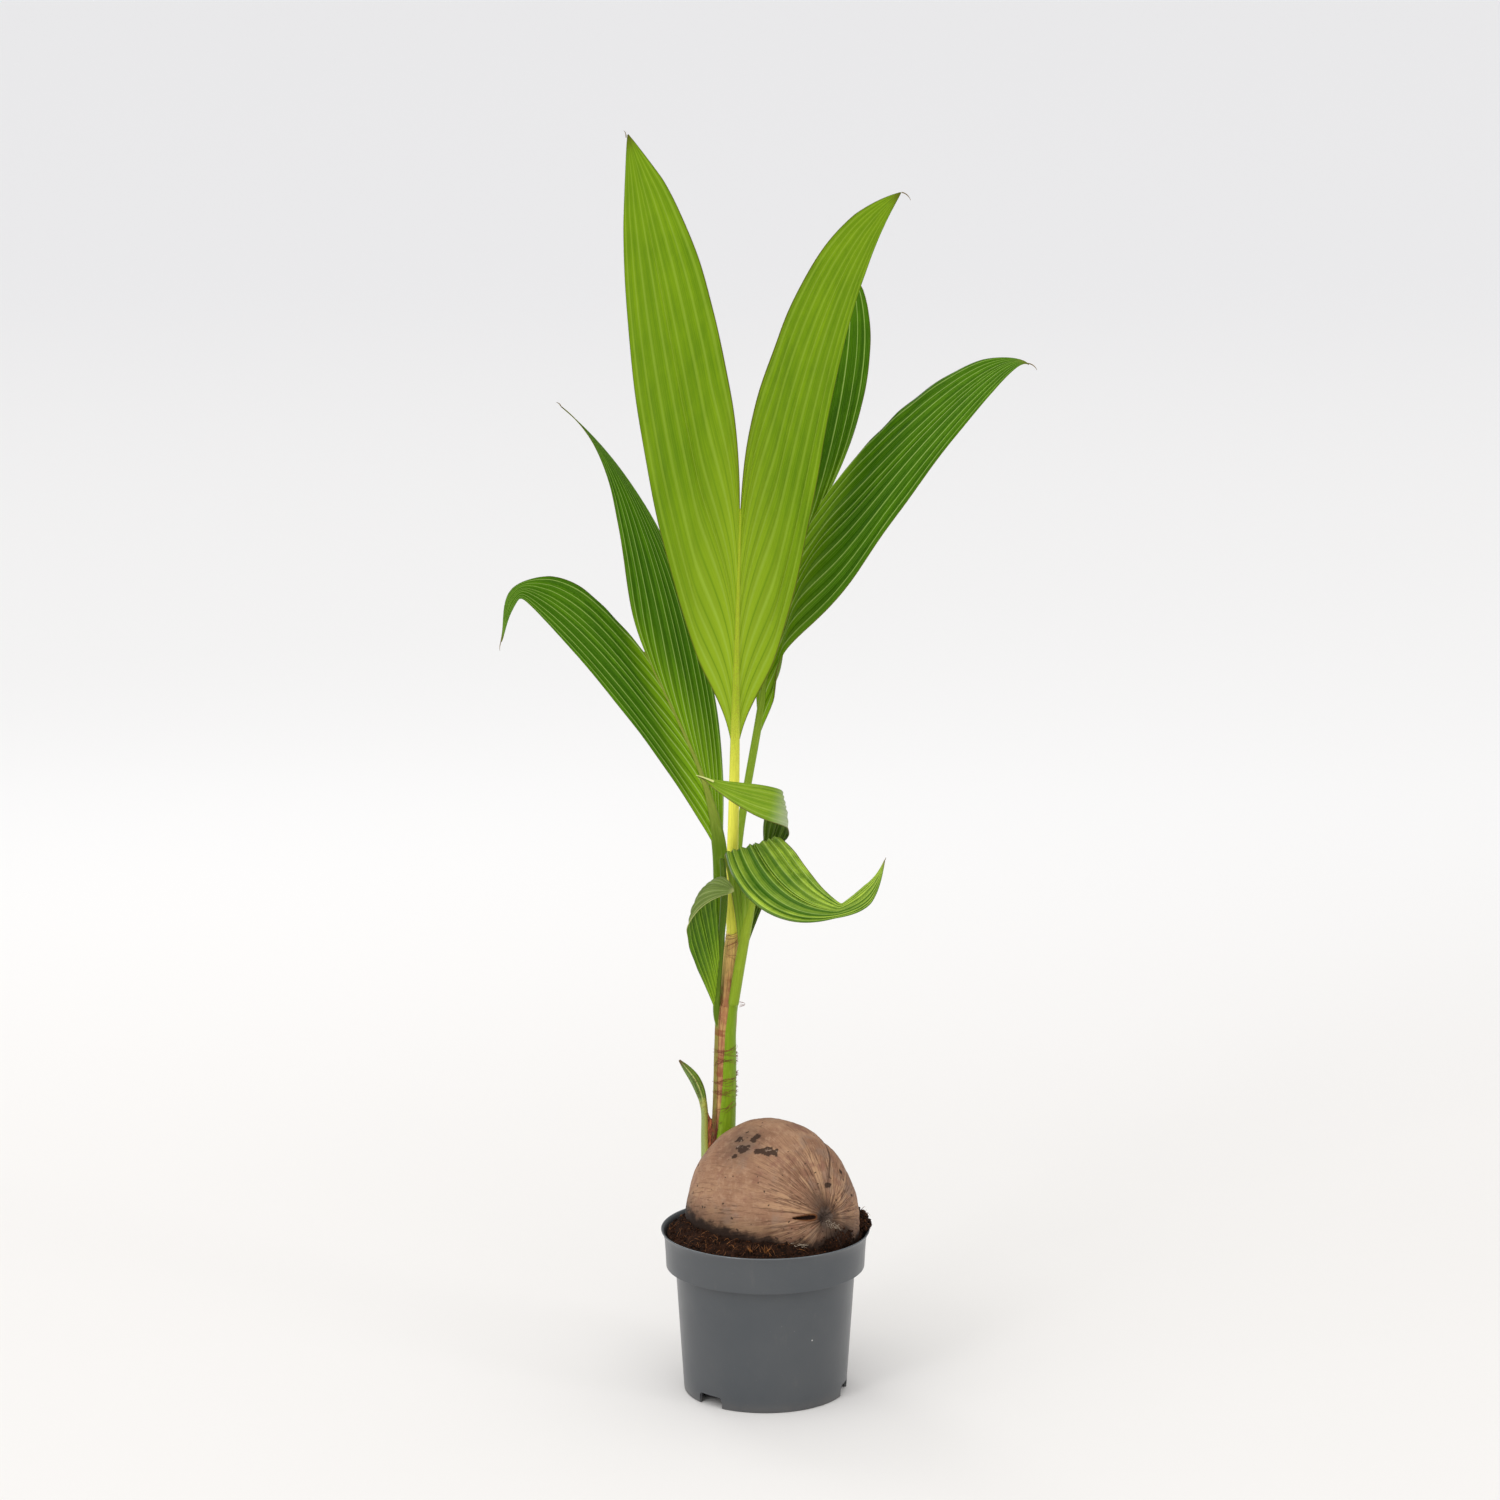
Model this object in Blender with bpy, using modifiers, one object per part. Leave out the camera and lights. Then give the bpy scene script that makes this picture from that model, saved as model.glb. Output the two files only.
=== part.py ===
"""Potted coconut palm: a young plant, its nut still on the soil of a round nursery pot.

Units are metres, +Z is up, and the front is -Y. The origin is the centre of the pot's flat
underside. Each leaf is a rachis with a left and a right lobe. A lobe is a fan of ribs that
start along the rachis, or along a fold, and run to the tip, with a pleat over every rib.
"""

import math

import bmesh
import bpy
from mathutils import Matrix, Vector

# Sizes of the pot
POT_HEIGHT = 0.151
RIM_RADIUS = 0.095
RIM_DEPTH = 0.0055
BAND_TOP_RADIUS = 0.0918
BAND_FOOT_RADIUS = 0.0903
BAND_FOOT_Z = 0.1135
BODY_TOP_RADIUS = 0.0806
BODY_FOOT_RADIUS = 0.0742
CORNER_RADIUS = 0.003
RIM_ROUND = 0.0008
WALL = 0.0018
FLOOR = 0.0024
POT_STEPS = 36
NOTCH_WIDTH = 0.027
NOTCH_HEIGHT = 0.0105
NOTCH_DEPTH = 0.006
NOTCH_ROUND = 0.004
NOTCH_HEADINGS = (227.5, 347.5, 107.5)

# Sizes of the soil and the nut
SOIL_Z = 0.1475
MOUND_HEIGHT = 0.008
MOUND_SPREAD = 0.035
MOUND_CENTRE = (0.078, 0.012)
CLOD_HEIGHT = 0.0012
NUT_CENTRE = Vector((0.0065, 0.0, 0.161))
NUT_HALF_LENGTH = 0.084
NUT_HALF_WIDTH = 0.068
NUT_HALF_HEIGHT = 0.089
NUT_HEADING = math.radians(-35.0)
NUT_ANGLES = 0.02

# Sizes of the stem and the leaves
GAP = 0.0003
SEAT_GAP = 0.0013
THICKNESS_SHARE = 0.0102
LEAST_THICKNESS = 0.0022
PLEAT_SHARE = 0.32
MOST_PLEAT = 0.0055

LEAF_GREEN = (0.13, 0.27, 0.02)
DARK_GREEN = (0.06, 0.15, 0.012)
YELLOW_GREEN = (0.42, 0.50, 0.06)
SHEATH_BROWN = (0.34, 0.14, 0.06)
HUSK_BROWN = (0.42, 0.24, 0.13)
SOIL_BROWN = (0.02, 0.011, 0.006)
POT_GREY = (0.11, 0.11, 0.112)


def clear_scene():
    for item in list(bpy.data.objects):
        bpy.data.objects.remove(item, do_unlink=True)


def new_collection(name):
    collection = bpy.data.collections.new(name)
    bpy.context.scene.collection.children.link(collection)
    return collection


def finish(name, colour, roughness):
    """A plain finish in the part's own colour."""
    material = bpy.data.materials.new(name)
    material.use_nodes = True
    shader = material.node_tree.nodes["Principled BSDF"]
    shader.inputs["Base Color"].default_value = (*colour, 1.0)
    shader.inputs["Roughness"].default_value = roughness
    shader.inputs["Metallic"].default_value = 0.0
    return material


def add_mesh(name, bm, colour, roughness=0.6, smooth=True):
    mesh = bpy.data.meshes.new(name)
    bm.to_mesh(mesh)
    bm.free()
    if smooth:
        mesh.shade_smooth()
        mesh.set_sharp_from_angle(angle=math.radians(40.0))
    mesh.materials.append(finish(name, colour, roughness))
    item = bpy.data.objects.new(name, mesh)
    plant.objects.link(item)
    return item


def as_cutter(item):
    plant.objects.unlink(item)
    cutters.objects.link(item)
    item.hide_render = True
    item.display_type = "WIRE"
    return item


def cut(item, cutter):
    modifier = item.modifiers.new("Cut " + cutter.name, "BOOLEAN")
    modifier.operation = "DIFFERENCE"
    modifier.object = cutter


def evaluated_mesh(item):
    graph = bpy.context.evaluated_depsgraph_get()
    return bpy.data.meshes.new_from_object(item.evaluated_get(graph))


def turned(name, profile, steps):
    """Turns a profile of (radius, z), top to bottom on its outer side, and returns its mesh."""
    bm = bmesh.new()
    corners = [bm.verts.new((radius, 0.0, z)) for radius, z in profile]
    for first, second in zip(corners, corners[1:]):
        bm.edges.new((first, second))
    item = add_mesh(name + "_profile", bm, POT_GREY, smooth=False)
    screw = item.modifiers.new("Turn", "SCREW")
    screw.steps = steps
    screw.render_steps = steps
    screw.use_merge_vertices = True
    screw.merge_threshold = 0.00005
    bpy.context.view_layer.update()
    mesh = evaluated_mesh(item)
    bpy.data.objects.remove(item, do_unlink=True)
    return mesh


def arc(centre, radius, start, end, count):
    """Points of (radius, z) on a round corner, from one angle in degrees to another."""
    points = []
    for step in range(count + 1):
        angle = math.radians(start + (end - start) * step / count)
        points.append((centre[0] + radius * math.cos(angle), centre[1] + radius * math.sin(angle)))
    return points


def wall_radius(z):
    """Outer radius of the pot's wall at a height, without its rim."""
    if z >= BAND_FOOT_Z:
        share = (z - BAND_FOOT_Z) / (POT_HEIGHT - BAND_FOOT_Z)
        return BAND_FOOT_RADIUS + (BAND_TOP_RADIUS - BAND_FOOT_RADIUS) * share
    return BODY_FOOT_RADIUS + (BODY_TOP_RADIUS - BODY_FOOT_RADIUS) * z / BAND_FOOT_Z


def inside_profile(clearance):
    """The cavity's wall from its floor up to the rim, narrowed by a clearance."""
    narrow = WALL + clearance
    step_z = BAND_FOOT_Z + WALL
    corner = wall_radius(FLOOR) - narrow
    return [
        (corner - CORNER_RADIUS, FLOOR + clearance),
        (corner, FLOOR + clearance + CORNER_RADIUS),
        (wall_radius(step_z - 2 * WALL) - narrow, step_z - WALL + clearance),
        (wall_radius(step_z) - narrow, step_z + WALL + clearance),
        (wall_radius(POT_HEIGHT) - narrow, POT_HEIGHT - 2 * WALL),
    ]


def make_pot():
    """A thin moulded shell with a rim, a band that stands out, and a tapering body."""
    lip = (RIM_RADIUS - RIM_ROUND, POT_HEIGHT - RIM_ROUND)
    outside = arc(lip, RIM_ROUND, 90.0, 0.0, 3)
    outside += [
        (RIM_RADIUS, POT_HEIGHT - RIM_DEPTH),
        (wall_radius(POT_HEIGHT - RIM_DEPTH), POT_HEIGHT - RIM_DEPTH - 0.0004),
        (BAND_FOOT_RADIUS, BAND_FOOT_Z),
        (BODY_TOP_RADIUS, BAND_FOOT_Z - 0.0006),
    ]
    foot = (BODY_FOOT_RADIUS - CORNER_RADIUS, CORNER_RADIUS)
    outside += arc(foot, CORNER_RADIUS, 0.0, -90.0, 3)
    inside = [(0.0, FLOOR)] + inside_profile(0.0)
    inside.append((wall_radius(POT_HEIGHT) - WALL + 0.0006, POT_HEIGHT))
    mesh = turned("pot", inside + outside + [(0.0, 0.0)], POT_STEPS)
    bm = bmesh.new()
    bm.from_mesh(mesh)
    pot = add_mesh("pot", bm, POT_GREY, 0.45)
    for number, heading in enumerate(NOTCH_HEADINGS, 1):
        cut(pot, notch_cutter(number, math.radians(heading)))
    return pot


def notch_cutter(number, heading):
    """A block with rounded upper corners, across the pot's bottom edge."""
    bm = bmesh.new()
    bmesh.ops.create_cube(bm, size=1.0)
    reach = NOTCH_DEPTH * 2.5
    tall = NOTCH_HEIGHT * 2.0
    bmesh.ops.scale(bm, vec=(reach, NOTCH_WIDTH, tall), verts=bm.verts)
    ends = [
        edge
        for edge in bm.edges
        if all(corner.co.z > 0 for corner in edge.verts)
        and abs(edge.verts[0].co.y - edge.verts[1].co.y) < 1e-6
    ]
    bmesh.ops.bevel(bm, geom=ends, offset=NOTCH_ROUND, segments=3, affect="EDGES")
    item = add_mesh(f"notch_cutter_{number}", bm, POT_GREY, smooth=False)
    outward = BODY_FOOT_RADIUS - NOTCH_DEPTH + reach / 2
    item.location = (outward * math.cos(heading), outward * math.sin(heading), NOTCH_HEIGHT - tall / 2)
    item.rotation_euler = (0.0, 0.0, heading)
    return as_cutter(item)


def make_soil():
    """The fill: it follows the pot's inside and heaps up beside the nut."""
    side = inside_profile(GAP + 0.0001)[:-1]
    edge = side[-1][0] + 0.0008
    top = [(0.0, SOIL_Z), (edge * 0.35, SOIL_Z), (edge * 0.65, SOIL_Z), (edge * 0.88, SOIL_Z)]
    profile = top + [(edge, SOIL_Z - 0.001)] + side[::-1] + [(0.0, FLOOR + GAP)]
    bm = bmesh.new()
    bm.from_mesh(turned("soil", profile, POT_STEPS))
    centre = Vector((*MOUND_CENTRE, 0.0))
    for vertex in bm.verts:
        if vertex.co.z > SOIL_Z - 0.002:
            flat = Vector((vertex.co.x, vertex.co.y, 0.0))
            vertex.co.z += MOUND_HEIGHT * math.exp(-(((flat - centre).length / MOUND_SPREAD) ** 2))
            vertex.co.z += CLOD_HEIGHT * math.sin(70.0 * flat.x + 1.0) * math.cos(90.0 * flat.y)
    soil = add_mesh("soil", bm, SOIL_BROWN, 0.95)
    cut(soil, husk("soil_cutter", GAP))
    return soil


def husk(name, grow):
    """The nut in its husk: an egg with three blunt angles, lying on its side."""
    bm = bmesh.new()
    bmesh.ops.create_uvsphere(bm, u_segments=28, v_segments=16, radius=1.0)
    for vertex in bm.verts:
        point = vertex.co.normalized()
        around = math.atan2(point.y, point.x)
        girth = 1.0 + NUT_ANGLES * math.cos(3.0 * around) * (1.0 - point.z**2)
        vertex.co = (
            point.x * girth * (NUT_HALF_HEIGHT + grow),
            point.y * girth * (NUT_HALF_WIDTH + grow),
            point.z * (NUT_HALF_LENGTH + grow),
        )
    lay = Matrix.Rotation(math.radians(-90.0), 4, "Y")
    turn = Matrix.Rotation(NUT_HEADING, 4, "Z")
    bmesh.ops.transform(bm, matrix=Matrix.Translation(NUT_CENTRE) @ turn @ lay, verts=bm.verts)
    item = add_mesh(name, bm, HUSK_BROWN, 0.8)
    return as_cutter(item) if grow else item


def along(path, share):
    """A point of the smooth curve through all the points of a path."""
    spans = len(path) - 1
    place = min(max(share, 0.0), 1.0) * spans
    index = min(int(place), spans - 1)
    t = place - index
    before, start = path[max(index - 1, 0)], path[index]
    end, after = path[index + 1], path[min(index + 2, spans)]
    leave = (end - before) * 0.5
    arrive = (after - start) * 0.5
    return (
        start * (2 * t**3 - 3 * t**2 + 1)
        + leave * (t**3 - 2 * t**2 + t)
        + end * (3 * t**2 - 2 * t**3)
        + arrive * (t**3 - t**2)
    )


def rod(name, points, radii, colour, count=14, detail=2):
    """A tapering round stalk along a smooth path."""
    path = [Vector(point) for point in points]
    widths = [Vector((radius, 0.0, 0.0)) for radius in radii]
    curve = bpy.data.curves.new(name, "CURVE")
    curve.dimensions = "3D"
    curve.bevel_depth = 1.0
    curve.bevel_resolution = detail
    curve.use_fill_caps = True
    curve.materials.append(finish(name, colour, 0.5))
    spline = curve.splines.new("POLY")
    spline.points.add(count - 1)
    for number, point in enumerate(spline.points):
        share = number / (count - 1)
        point.co = (*along(path, share), 1.0)
        point.radius = along(widths, share).x
    item = bpy.data.objects.new(name, curve)
    plant.objects.link(item)
    return item


def meshed(item):
    """The same piece as a mesh with its caps welded, so that it can be cut."""
    bpy.context.view_layer.update()
    mesh = evaluated_mesh(item)
    name = item.name
    bm = bmesh.new()
    bm.from_mesh(mesh)
    bmesh.ops.remove_doubles(bm, verts=bm.verts, dist=0.00001)
    colour = tuple(item.data.materials[0].node_tree.nodes["Principled BSDF"].inputs[0].default_value)
    bpy.data.objects.remove(item, do_unlink=True)
    return add_mesh(name, bm, colour[:3], 0.7)


def bezier(corners, u):
    a, b, c, d = corners
    w = 1.0 - u
    return a * w**3 + b * (3 * u * w**2) + c * (3 * u**2 * w) + d * u**3


def blade(name, root, inner, outer, ribs, stations, cup=0.0, colour=LEAF_GREEN):
    """A pleated lobe. Its ribs are curves that share out the handles of its two edges.

    root gives the start of the rib at v. inner and outer are the edges' two handles and end:
    v is 0 on the inner edge, at the split, and 1 on the outer edge.
    """
    inner = [Vector(point) for point in inner]
    outer = [Vector(point) for point in outer]

    def surface(u, v):
        handles = [first.lerp(second, v) for first, second in zip(inner, outer)]
        return bezier([root(v)] + handles, u)

    def facing(u, v):
        step = 0.004
        low_u, high_u = max(u - step, 0.0), min(u + step, 1.0)
        low_v, high_v = max(v - step, 0.0), min(v + step, 1.0)
        lengthwise = surface(high_u, v) - surface(low_u, v)
        across = surface(u, high_v) - surface(u, low_v)
        return across.cross(lengthwise).normalized(), lengthwise.normalized()

    columns = 2 * ribs
    length = sum((surface((k + 1) / 20, 0.5) - surface(k / 20, 0.5)).length for k in range(20))
    bm = bmesh.new()
    bmesh.ops.create_grid(bm, x_segments=columns, y_segments=stations, size=0.5)
    for vertex in bm.verts:
        v = vertex.co.x + 0.5
        u = vertex.co.y + 0.5
        normal, lengthwise = facing(u, v)
        span = surface(u, 1.0) - surface(u, 0.0)
        width = (span - lengthwise * span.dot(lengthwise)).length
        depth = min(MOST_PLEAT, PLEAT_SHARE * width / ribs) * min(1.0, 0.3 + 6.0 * u)
        ridge = 0.5 if round(v * columns) % 2 else -0.5
        bulge = cup * width * 4.0 * v * (1.0 - v) * math.sin(math.pi * min(1.0, 0.15 + u))
        vertex.co = surface(u, v) + normal * (ridge * depth + bulge)
    item = add_mesh(name, bm, colour, 0.4, smooth=False)
    shell = item.modifiers.new("Blade", "SOLIDIFY")
    shell.thickness = max(LEAST_THICKNESS, THICKNESS_SHARE * length)
    shell.offset = 0.0
    return item


def beside(points, radii, top, bottom, inner, outer):
    """Starts of the ribs along one side of a rachis, from the split at top down to bottom.

    Each one lies off the rachis on the side of the rib's own first handle.
    """
    path = [Vector(point) for point in points]
    widths = [Vector((radius, 0.0, 0.0)) for radius in radii]

    def root(v):
        share = top + (bottom - top) * v
        tangent = (along(path, share + 0.01) - along(path, share - 0.01)).normalized()
        out = Vector(inner[0]).lerp(Vector(outer[0]), v) - along(path, share)
        out = (out - tangent * out.dot(tangent)).normalized()
        return along(path, share) + out * (along(widths, share).x + SEAT_GAP)

    return root


def lobe(name, stalk, reach, inner, outer, ribs, stations, cup=0.0, colour=LEAF_GREEN):
    """A lobe whose ribs start along a rachis. reach is its span there, as two shares of length."""
    root = beside(*stalk, *reach, inner, outer)
    return blade(name, root, inner, outer, ribs, stations, cup, colour)


def between(first, second):
    """Starts of the ribs along a straight fold."""

    def root(v):
        return Vector(first).lerp(Vector(second), v)

    return root


def make_stem(nut_cutter):
    """The round stem out of the husk, narrowing into the fibrous sheath round the youngest leaf."""
    points = [
        (-0.0420, 0.0490, 0.190),
        (-0.0395, 0.0605, 0.212),
        (-0.0378, 0.0620, 0.255),
        (-0.0368, 0.0590, 0.310),
        (-0.0352, 0.0555, 0.344),
        (-0.0345, 0.0542, 0.352),
        (-0.0330, 0.0520, 0.380),
        (-0.0302, 0.0485, 0.412),
    ]
    radii = (0.0095, 0.0112, 0.0108, 0.0104, 0.0100, 0.0074, 0.0066, 0.0056)
    stem = meshed(rod("stem", points, radii, SHEATH_BROWN, 24, 4))
    cut(stem, nut_cutter)
    shoot_points = [
        (-0.0548, 0.0548, 0.187),
        (-0.0555, 0.0670, 0.215),
        (-0.0565, 0.0690, 0.246),
        (-0.0640, 0.0690, 0.270),
        (-0.0790, 0.0680, 0.290),
    ]
    shoot = rod("side_shoot", shoot_points, (0.0045, 0.0042, 0.0048, 0.0050, 0.0014), LEAF_GREEN, 12)
    cut(meshed(shoot), nut_cutter)


def make_leaf_a():
    """The youngest leaf: upright in front, its two lobes spread like a fish's tail."""
    points = [
        (-0.0300, 0.0480, 0.4128),
        (-0.0308, 0.0430, 0.450),
        (-0.0285, 0.0350, 0.540),
        (-0.0270, 0.0200, 0.620),
        (-0.0250, 0.0080, 0.715),
        (-0.0225, 0.0000, 0.809),
    ]
    radii = (0.0048, 0.0042, 0.0036, 0.0038, 0.0024, 0.0010)
    rod("leaf_a_rachis", points, radii, YELLOW_GREEN, 20)
    lobe(
        "leaf_a_left",
        (points, radii),
        (0.98, 0.57),
        inner=[(-0.031, -0.015, 0.919), (-0.042, -0.025, 1.050), (-0.117, -0.030, 1.137)],
        outer=[(-0.103, 0.026, 0.767), (-0.134, 0.012, 0.954), (-0.121, -0.029, 1.135)],
        ribs=6,
        stations=14,
        cup=-0.05,
    )
    lobe(
        "leaf_a_right",
        (points, radii),
        (0.98, 0.57),
        inner=[(-0.015, -0.013, 0.895), (0.022, -0.026, 1.063), (0.115, -0.030, 1.089)],
        outer=[(0.058, 0.028, 0.755), (0.037, 0.010, 0.945), (0.117, -0.029, 1.084)],
        ribs=6,
        stations=14,
        cup=-0.05,
    )


def make_leaf_b():
    """The left leaf: its left lobe arches over and its tip hangs, its right lobe stands behind."""
    points = [
        (-0.0414, 0.0632, 0.356),
        (-0.0425, 0.0640, 0.430),
        (-0.0435, 0.0640, 0.500),
        (-0.0610, 0.0700, 0.565),
        (-0.1100, 0.0900, 0.667),
    ]
    radii = (0.0042, 0.0042, 0.0044, 0.0032, 0.0012)
    rod("leaf_b_rachis", points, radii, DARK_GREEN, 20)
    lobe(
        "leaf_b_left",
        (points, radii),
        (0.99, 0.52),
        inner=[(-0.136, 0.081, 0.697), (-0.169, 0.069, 0.755), (-0.216, 0.055, 0.737)],
        outer=[(-0.086, 0.057, 0.570), (-0.163, 0.053, 0.667), (-0.219, 0.050, 0.724)],
        ribs=5,
        stations=11,
        cup=0.06,
        colour=DARK_GREEN,
    )
    blade(
        "leaf_b_left_tip",
        between((-0.2178, 0.0538, 0.7368), (-0.2208, 0.0493, 0.7236)),
        inner=[(-0.242, 0.048, 0.729), (-0.232, 0.042, 0.702), (-0.2375, 0.035, 0.685)],
        outer=[(-0.229, 0.045, 0.712), (-0.232, 0.040, 0.698), (-0.2360, 0.036, 0.684)],
        ribs=3,
        stations=7,
        colour=DARK_GREEN,
    )
    lobe(
        "leaf_b_right",
        (points, radii),
        (0.95, 0.50),
        inner=[(-0.142, 0.109, 0.738), (-0.120, 0.132, 0.836), (-0.188, 0.160, 0.884)],
        outer=[(-0.028, 0.100, 0.631), (-0.076, 0.131, 0.794), (-0.186, 0.160, 0.882)],
        ribs=5,
        stations=14,
        colour=DARK_GREEN,
    )


def make_leaf_c():
    """The right leaf: one lobe reaches out to the right, the other stands behind."""
    points = [
        (-0.0278, 0.0634, 0.356),
        (-0.0255, 0.0670, 0.430),
        (-0.0240, 0.0680, 0.497),
        (-0.0075, 0.0730, 0.597),
        (0.0070, 0.0920, 0.677),
        (0.0275, 0.1110, 0.747),
        (0.0530, 0.1280, 0.802),
    ]
    radii = (0.0040, 0.0040, 0.0036, 0.0036, 0.0028, 0.0020, 0.0010)
    rod("leaf_c_rachis", points, radii, LEAF_GREEN, 16)
    lobe(
        "leaf_c_right",
        (points, radii),
        (0.99, 0.53),
        inner=[(0.082, 0.117, 0.851), (0.180, 0.083, 0.958), (0.241, 0.060, 0.928)],
        outer=[(0.007, 0.079, 0.648), (0.222, 0.049, 0.957), (0.242, 0.060, 0.924)],
        ribs=5,
        stations=14,
        cup=0.05,
        colour=DARK_GREEN,
    )
    lobe(
        "leaf_c_back",
        (points, radii),
        (0.98, 0.53),
        inner=[(0.072, 0.146, 0.850), (0.118, 0.164, 0.966), (0.075, 0.185, 1.013)],
        outer=[(-0.018, 0.121, 0.733), (0.015, 0.166, 0.882), (0.072, 0.185, 1.011)],
        ribs=5,
        stations=13,
        colour=DARK_GREEN,
    )


def make_leaf_d():
    """The low right leaf: each half climbs to a fold, and falls over it in a curl."""
    points = [
        (-0.0258, 0.0453, 0.354),
        (-0.0200, 0.0385, 0.395),
        (-0.0122, 0.0300, 0.445),
        (0.0000, 0.0180, 0.506),
    ]
    radii = (0.0046, 0.0046, 0.0040, 0.0018)
    rod("leaf_d_rachis", points, radii, LEAF_GREEN)
    lobe(
        "leaf_d_left_rise",
        (points, radii),
        (0.97, 0.52),
        inner=[(0.004, 0.006, 0.506), (0.008, 0.001, 0.510), (0.0120, -0.0050, 0.511)],
        outer=[(-0.026, 0.030, 0.440), (-0.032, 0.027, 0.470), (-0.0365, 0.0235, 0.492)],
        ribs=4,
        stations=6,
    )
    blade(
        "leaf_d_left_hang",
        between((0.0149, -0.0090, 0.5129), (-0.0370, 0.0198, 0.4957)),
        inner=[(0.034, -0.043, 0.505), (0.034, -0.065, 0.490), (0.067, -0.080, 0.469)],
        outer=[(-0.029, -0.033, 0.468), (0.011, -0.057, 0.434), (0.062, -0.085, 0.458)],
        ribs=6,
        stations=10,
    )
    blade(
        "leaf_d_left_tip",
        between((0.0687, -0.0800, 0.4700), (0.0642, -0.0850, 0.4583)),
        inner=[(0.082, -0.077, 0.480), (0.098, -0.073, 0.490), (0.106, -0.070, 0.508)],
        outer=[(0.096, -0.081, 0.462), (0.102, -0.080, 0.474), (0.107, -0.070, 0.506)],
        ribs=4,
        stations=6,
    )
    lobe(
        "leaf_d_right_rise",
        (points, radii),
        (0.90, 0.30),
        inner=[(-0.006, 0.036, 0.470), (-0.004, 0.034, 0.490), (-0.0020, 0.0310, 0.505)],
        outer=[(-0.010, 0.042, 0.430), (0.011, 0.030, 0.467), (0.0165, 0.0130, 0.507)],
        ribs=4,
        stations=7,
        colour=DARK_GREEN,
    )
    blade(
        "leaf_d_right_curl",
        between((0.0172, 0.0123, 0.5087), (-0.0016, 0.0300, 0.5070)),
        inner=[(0.029, -0.030, 0.585), (-0.001, -0.015, 0.553), (-0.059, -0.030, 0.576)],
        outer=[(0.043, 0.011, 0.522), (-0.040, -0.053, 0.552), (-0.061, -0.030, 0.573)],
        ribs=5,
        stations=12,
    )


def make_leaf_e():
    """The lowest leaf: a short cupped lobe on the left whose top rolls over to the front."""
    points = [
        (-0.0440, 0.0487, 0.3535),
        (-0.0405, 0.0370, 0.405),
        (-0.0372, 0.0301, 0.455),
        (-0.0392, 0.0262, 0.488),
    ]
    radii = (0.0032, 0.0030, 0.0033, 0.0022)
    rod("leaf_e_rachis", points, radii, DARK_GREEN)
    lobe(
        "leaf_e_rise",
        (points, radii),
        (0.80, 0.04),
        inner=[(-0.042, 0.026, 0.460), (-0.044, 0.024, 0.464), (-0.046, 0.022, 0.468)],
        outer=[(-0.056, 0.034, 0.375), (-0.071, 0.020, 0.405), (-0.070, 0.011, 0.436)],
        ribs=5,
        stations=8,
        cup=-0.10,
        colour=DARK_GREEN,
    )
    blade(
        "leaf_e_roll",
        between((-0.0450, 0.0198, 0.4703), (-0.0702, 0.0093, 0.4386)),
        inner=[(-0.040, 0.012, 0.477), (-0.034, 0.006, 0.474), (-0.029, 0.002, 0.466)],
        outer=[(-0.068, 0.000, 0.446), (-0.054, -0.002, 0.461), (-0.031, 0.000, 0.463)],
        ribs=4,
        stations=6,
        colour=DARK_GREEN,
    )


clear_scene()
plant = new_collection("potted_coconut_palm")
cutters = new_collection("cutters")
make_pot()
make_soil()
husk("coconut", 0.0)
make_stem(husk("stem_cutter", GAP))
make_leaf_a()
make_leaf_b()
make_leaf_c()
make_leaf_d()
make_leaf_e()
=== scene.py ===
import bpy
import math
import random
import numpy as np
from mathutils import Matrix, Vector, noise


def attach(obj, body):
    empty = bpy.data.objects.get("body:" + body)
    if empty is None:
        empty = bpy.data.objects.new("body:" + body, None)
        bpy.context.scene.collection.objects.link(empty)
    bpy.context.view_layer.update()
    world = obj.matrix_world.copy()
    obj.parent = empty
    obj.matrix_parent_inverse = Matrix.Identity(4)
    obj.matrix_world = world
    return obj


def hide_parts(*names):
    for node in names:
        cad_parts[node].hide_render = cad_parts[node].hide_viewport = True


# A potted coconut palm: pot, soil, nut, stem, side shoot and five leaves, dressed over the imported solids.
# Metres, +Z up, front towards -Y, origin at the centre of the pot's underside.

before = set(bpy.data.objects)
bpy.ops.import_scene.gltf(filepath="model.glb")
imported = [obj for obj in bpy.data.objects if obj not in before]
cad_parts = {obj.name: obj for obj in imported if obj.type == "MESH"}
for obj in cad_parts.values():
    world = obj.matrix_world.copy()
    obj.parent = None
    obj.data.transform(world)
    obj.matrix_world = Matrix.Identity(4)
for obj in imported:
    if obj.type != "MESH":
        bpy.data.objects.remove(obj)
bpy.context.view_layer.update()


# Objects

def clearSelection():
    for item in list(bpy.context.selected_objects):
        item.select_set(False)


def makeActive(item):
    clearSelection()
    item.select_set(True)
    bpy.context.view_layer.objects.active = item


def added(name, operator, **values):
    # what an operator adds, under its own name
    clearSelection()
    operator(**values)
    item = bpy.context.object
    item.name = item.data.name = name
    return item


def editMode(item):
    makeActive(item)
    bpy.ops.object.mode_set(mode="EDIT")


def objectMode():
    bpy.ops.object.mode_set(mode="OBJECT")


def onWholeMesh(operator, **values):
    bpy.ops.mesh.select_all(action="SELECT")
    operator(**values)


def turnOutwards():
    onWholeMesh(bpy.ops.mesh.normals_make_consistent, inside=False)


def applyModifier(item, kind, **values):
    makeActive(item)
    modifier = item.modifiers.new(kind.title(), kind)
    for key, value in values.items():
        setattr(modifier, key, value)
    bpy.ops.object.modifier_apply(modifier=modifier.name)


def applyPlace(item):
    makeActive(item)
    bpy.ops.object.transform_apply(location=True, rotation=True, scale=True)


def keepAttribute(item, name, values):
    layer = item.data.attributes.new(name, "FLOAT_VECTOR", "POINT")
    layer.data.foreach_set("vector", np.asarray(values, np.float32).reshape(-1))


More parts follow.
